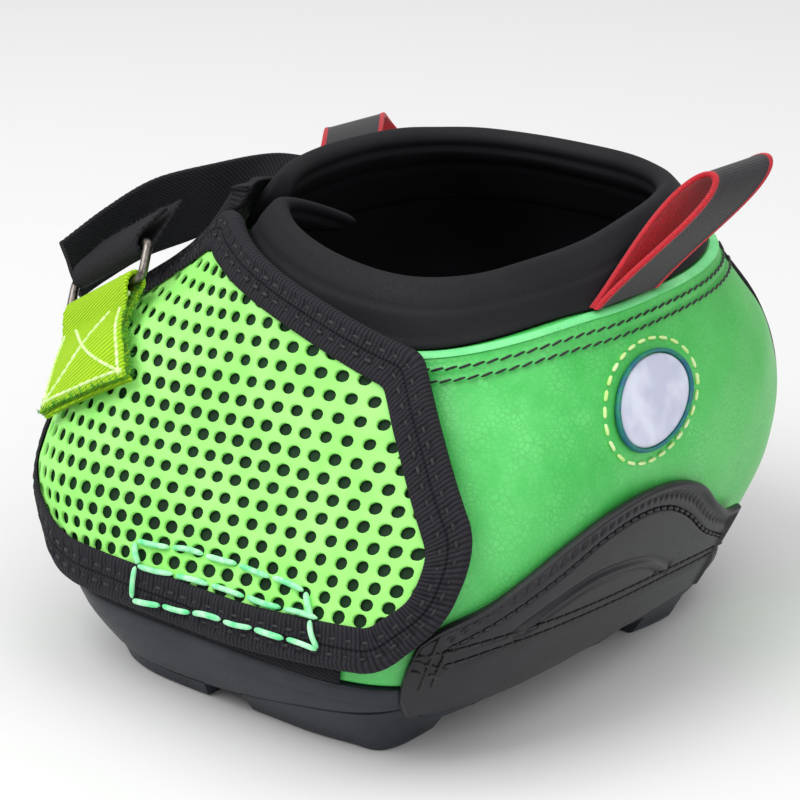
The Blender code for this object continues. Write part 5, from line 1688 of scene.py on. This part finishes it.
def makeTab(name, node, body, side):
    k = tabForm
    share, backLean, lean, droop = k[side]
    around = side * share * halfGirth(bootForm["hemRear"])
    hem = float(hemAt(around))
    base = levelWall(around, hem, k["seat"]) + np.array([0, 0, gap + k["thick"]])
    rearAround = around + side * k["width"]
    rear = unit(levelWall(rearAround, hemAt(rearAround), k["seat"]) - levelWall(around, hem, k["seat"]))
    normal = wallNormal(around, hem) * np.array([1.0, 1.0, 0.0])
    out = unit(normal - rear * (normal * rear).sum())
    up = np.cross(rear, out)
    up = up * np.sign(up[2])
    rise = 1 / math.hypot(1, backLean)
    turn = droop / k["length"]
    halfGap = (k["thick"] + gap) / 2
    angle = np.linspace(0, 2 * math.pi, 121)
    reach = k["length"] * (1 - np.cos(angle)) / 2
    tilt = lean + turn * reach
    risen = (np.sin(tilt) - math.sin(lean)) / turn
    gone = (math.cos(lean) - np.cos(tilt)) / turn
    centre = base + (rear * (backLean * reach)[:, None] + up * risen[:, None] + out * gone[:, None]) * rise
    swell = k["belly"] * (0.62 if side > 0 else 1.0) * np.sin(angle) * np.sin(angle
        / 2) ** 2 + halfGap * np.cos(angle / 2)
    line = centre + (out * np.cos(tilt)[:, None] - up * np.sin(tilt)[:, None]) * swell[:, None]
    run = unit(np.gradient(line, axis=0))
    offset = unit(np.cross(run, rear)) * k["thick"] / 2
    outward = 1 if (offset * (line - line.mean(0))).sum() > 0 else -1
    shares = softShares(k["width"], 0.0012, 16, 4)
    bulge = np.where((shares < 0.07) | (shares > 0.93), 1.45, 1.0)
    edge = np.sqrt(np.clip(1 - np.clip(1 - np.minimum(shares, 1 - shares) * k["width"] / 0.0007, 0, 1) ** 2,
                           0.04, 1)) * bulge
    loops, black = [], []
    for sign, s, e in ((1, shares, edge), (-1, shares[::-1], edge[::-1])):
        loops.append(line[:, None] + rear * (s * k["width"])[None, :, None] + offset[:, None]
                     * (sign * e)[None, :, None])
        black.append(np.where((s > 0.075) & (s < 0.925) & (sign == outward), 1.0, 0.0))
    loops = np.concatenate(loops, 1)
    tab = loftPiece(name, loops, finishes["ribbon"], sharp=70)
    values = np.tile(np.concatenate(black), len(line)).astype(np.float32)
    tab.data.attributes.new("blackFace", "FLOAT", "POINT").data.foreach_set("value", values)
    dress(tab, body, "red_ribbon", node)


makeTab("leftPullTab", "left_pull_tab", "left_tab", 1)
makeTab("rightPullTab", "right_pull_tab", "right_tab", -1)
print("tabs dressed")


# badges
badgeForm = {"height": 0.0815, "share": 0.440, "disc": 0.0153, "ring": 0.0013, "low": -0.0004,
             "thick": 0.0009, "stitch": 0.0205, "squat": 0.745}


def badgeWall(side, radius, angle, lift):
    k = badgeForm
    slant = math.sqrt(1 - wallNormal(side * k["share"] * halfGirth(k["height"]), k["height"])[2] ** 2)
    height = k["height"] + radius * k["squat"] * np.sin(angle) * slant
    return wall(side * k["share"] * halfGirth(height) + radius * np.cos(angle), height, lift)


def makeBadge(label, side):
    k = badgeForm
    angle = np.linspace(0, 2 * math.pi, 96, endpoint=False)
    rows = [(0.3, 0.0), (1.0, 0.0), (1.0, 0.55), (0.985, 0.8), (0.95, 0.95), (0.8, 1.0), (0.6, 1.05),
            (0.4, 1.08), (0.2, 1.1), (0.05, 1.1)]
    loops = [badgeWall(side, k["disc"] * s, angle, np.full(96, k["low"] + k["thick"] * t)) for s, t in rows]
    disc = loftPiece(label + "BadgeDisc", np.array(loops), finishes["badgeWhite"])
    dress(disc, "boot", "badge_white", label + "_badge_disc")
    inner = k["disc"] + gap
    ring = []
    for share, t in ((0.0, 0.0), (0.5, 0.0), (1.0, 0.0), (1.04, 0.6), (0.95, 1.2), (0.75, 1.55),
                     (0.5, 1.65), (0.25, 1.55), (0.05, 1.2), (0.0, 0.6)):
        ring.append(badgeWall(side, inner + k["ring"] * share, angle,
                              np.full(96, k["low"] + k["thick"] * t)))
    loops = np.stack(ring, 1)
    circle = loftPiece(label + "BadgeRing", loops, finishes["badgeTeal"], closedPath=True)
    dress(circle, "boot", "badge_teal", label + "_badge_ring")
    turn = np.linspace(0, 2 * math.pi, 181)
    places = badgeWall(side, k["stitch"], turn, np.full(181, -bootForm["panelSink"] + 0.0004))
    above = badgeWall(side, k["stitch"], turn, np.full(181, -bootForm["panelSink"] + 0.0014))
    stitchPiece(label + "BadgeStitches", [(places, unit(above - places))], "boot", "lime_webbing",
                "limeThread", 0.0044, 0.0032, 0.00055)


makeBadge("left", 1)
makeBadge("right", -1)
print("badges dressed")


# floor, light and camera
def makeStage():
    floor = finishMesh("floor", [(-6, -6, 0), (6, -6, 0), (6, 6, 0), (-6, 6, 0)], [(0, 1, 2, 3)],
                       bpy.data.materials.new("paleFloor"), outward=False)
    paint = floor.data.materials[0]
    paint.use_nodes = True
    tree = paint.node_tree
    shader = tree.nodes["Principled BSDF"]
    shader.inputs["Base Color"].default_value = (0.80, 0.80, 0.80, 1.0)
    shader.inputs["Roughness"].default_value = 0.9
    shader.inputs["Specular IOR Level"].default_value = 0.1


stageForm = {"key": (-0.55, -0.75, 1.25), "keyPower": 16.0, "fill": (1.1, -0.5, 0.75), "fillPower": 6.0,
             "top": (0.1, 0.5, 1.5),
             "topPower": 9.5, "world": 0.44}


def areaLight(name, place, power, size):
    light = bpy.data.lights.new(name, "AREA")
    light.energy, light.size = power, size
    lamp = bpy.data.objects.new(name, light)
    lamp.location = place
    lamp.rotation_euler = (Vector((0, 0, 0.05)) - Vector(place)).to_track_quat("-Z", "Y").to_euler()
    bpy.context.collection.objects.link(lamp)


def makeWorld():
    world = bpy.data.worlds.new("studio")
    bpy.context.scene.world = world
    world.use_nodes = True
    tree = world.node_tree
    tree.nodes.clear()
    output = tree.nodes.new("ShaderNodeOutputWorld")
    rays = tree.nodes.new("ShaderNodeLightPath")
    seen = tree.nodes.new("ShaderNodeBackground")
    lit = tree.nodes.new("ShaderNodeBackground")
    chosen = tree.nodes.new("ShaderNodeMixShader")
    seen.inputs["Color"].default_value = (1, 1, 1, 1)
    lit.inputs["Color"].default_value = (1, 1, 1, 1)
    lit.inputs["Strength"].default_value = stageForm["world"]
    tree.links.new(rays.outputs["Is Camera Ray"], chosen.inputs[0])
    tree.links.new(lit.outputs[0], chosen.inputs[1])
    tree.links.new(seen.outputs[0], chosen.inputs[2])
    tree.links.new(chosen.outputs[0], output.inputs["Surface"])


def makeCamera():
    look = {"azimuth": 38.5, "elevation": 22.0, "distance": 0.784, "target": (0.0, 0.0, 0.056),
            "lens": 124.4, "shift": (-0.03125, 0.03125)}
    azimuth, elevation = math.radians(look["azimuth"]), math.radians(look["elevation"])
    data = bpy.data.cameras.new("photoCamera")
    data.lens, data.sensor_width, data.clip_start = look["lens"], 36.0, 0.01
    data.shift_x, data.shift_y = look["shift"]
    camera = bpy.data.objects.new("photoCamera", data)
    away = Vector((math.sin(azimuth) * math.cos(elevation), -math.cos(azimuth) * math.cos(elevation),
                   math.sin(elevation)))
    camera.location = Vector(look["target"]) + away * look["distance"]
    camera.rotation_euler = away.to_track_quat("Z", "Y").to_euler()
    bpy.context.collection.objects.link(camera)
    bpy.context.scene.camera = camera


makeStage()
areaLight("keyLight", stageForm["key"], stageForm["keyPower"], 1.2)
areaLight("fillLight", stageForm["fill"], stageForm["fillPower"], 1.4)
areaLight("topLight", stageForm["top"], stageForm["topPower"], 1.6)
makeWorld()
makeCamera()
bpy.context.scene.view_settings.view_transform = "Standard"
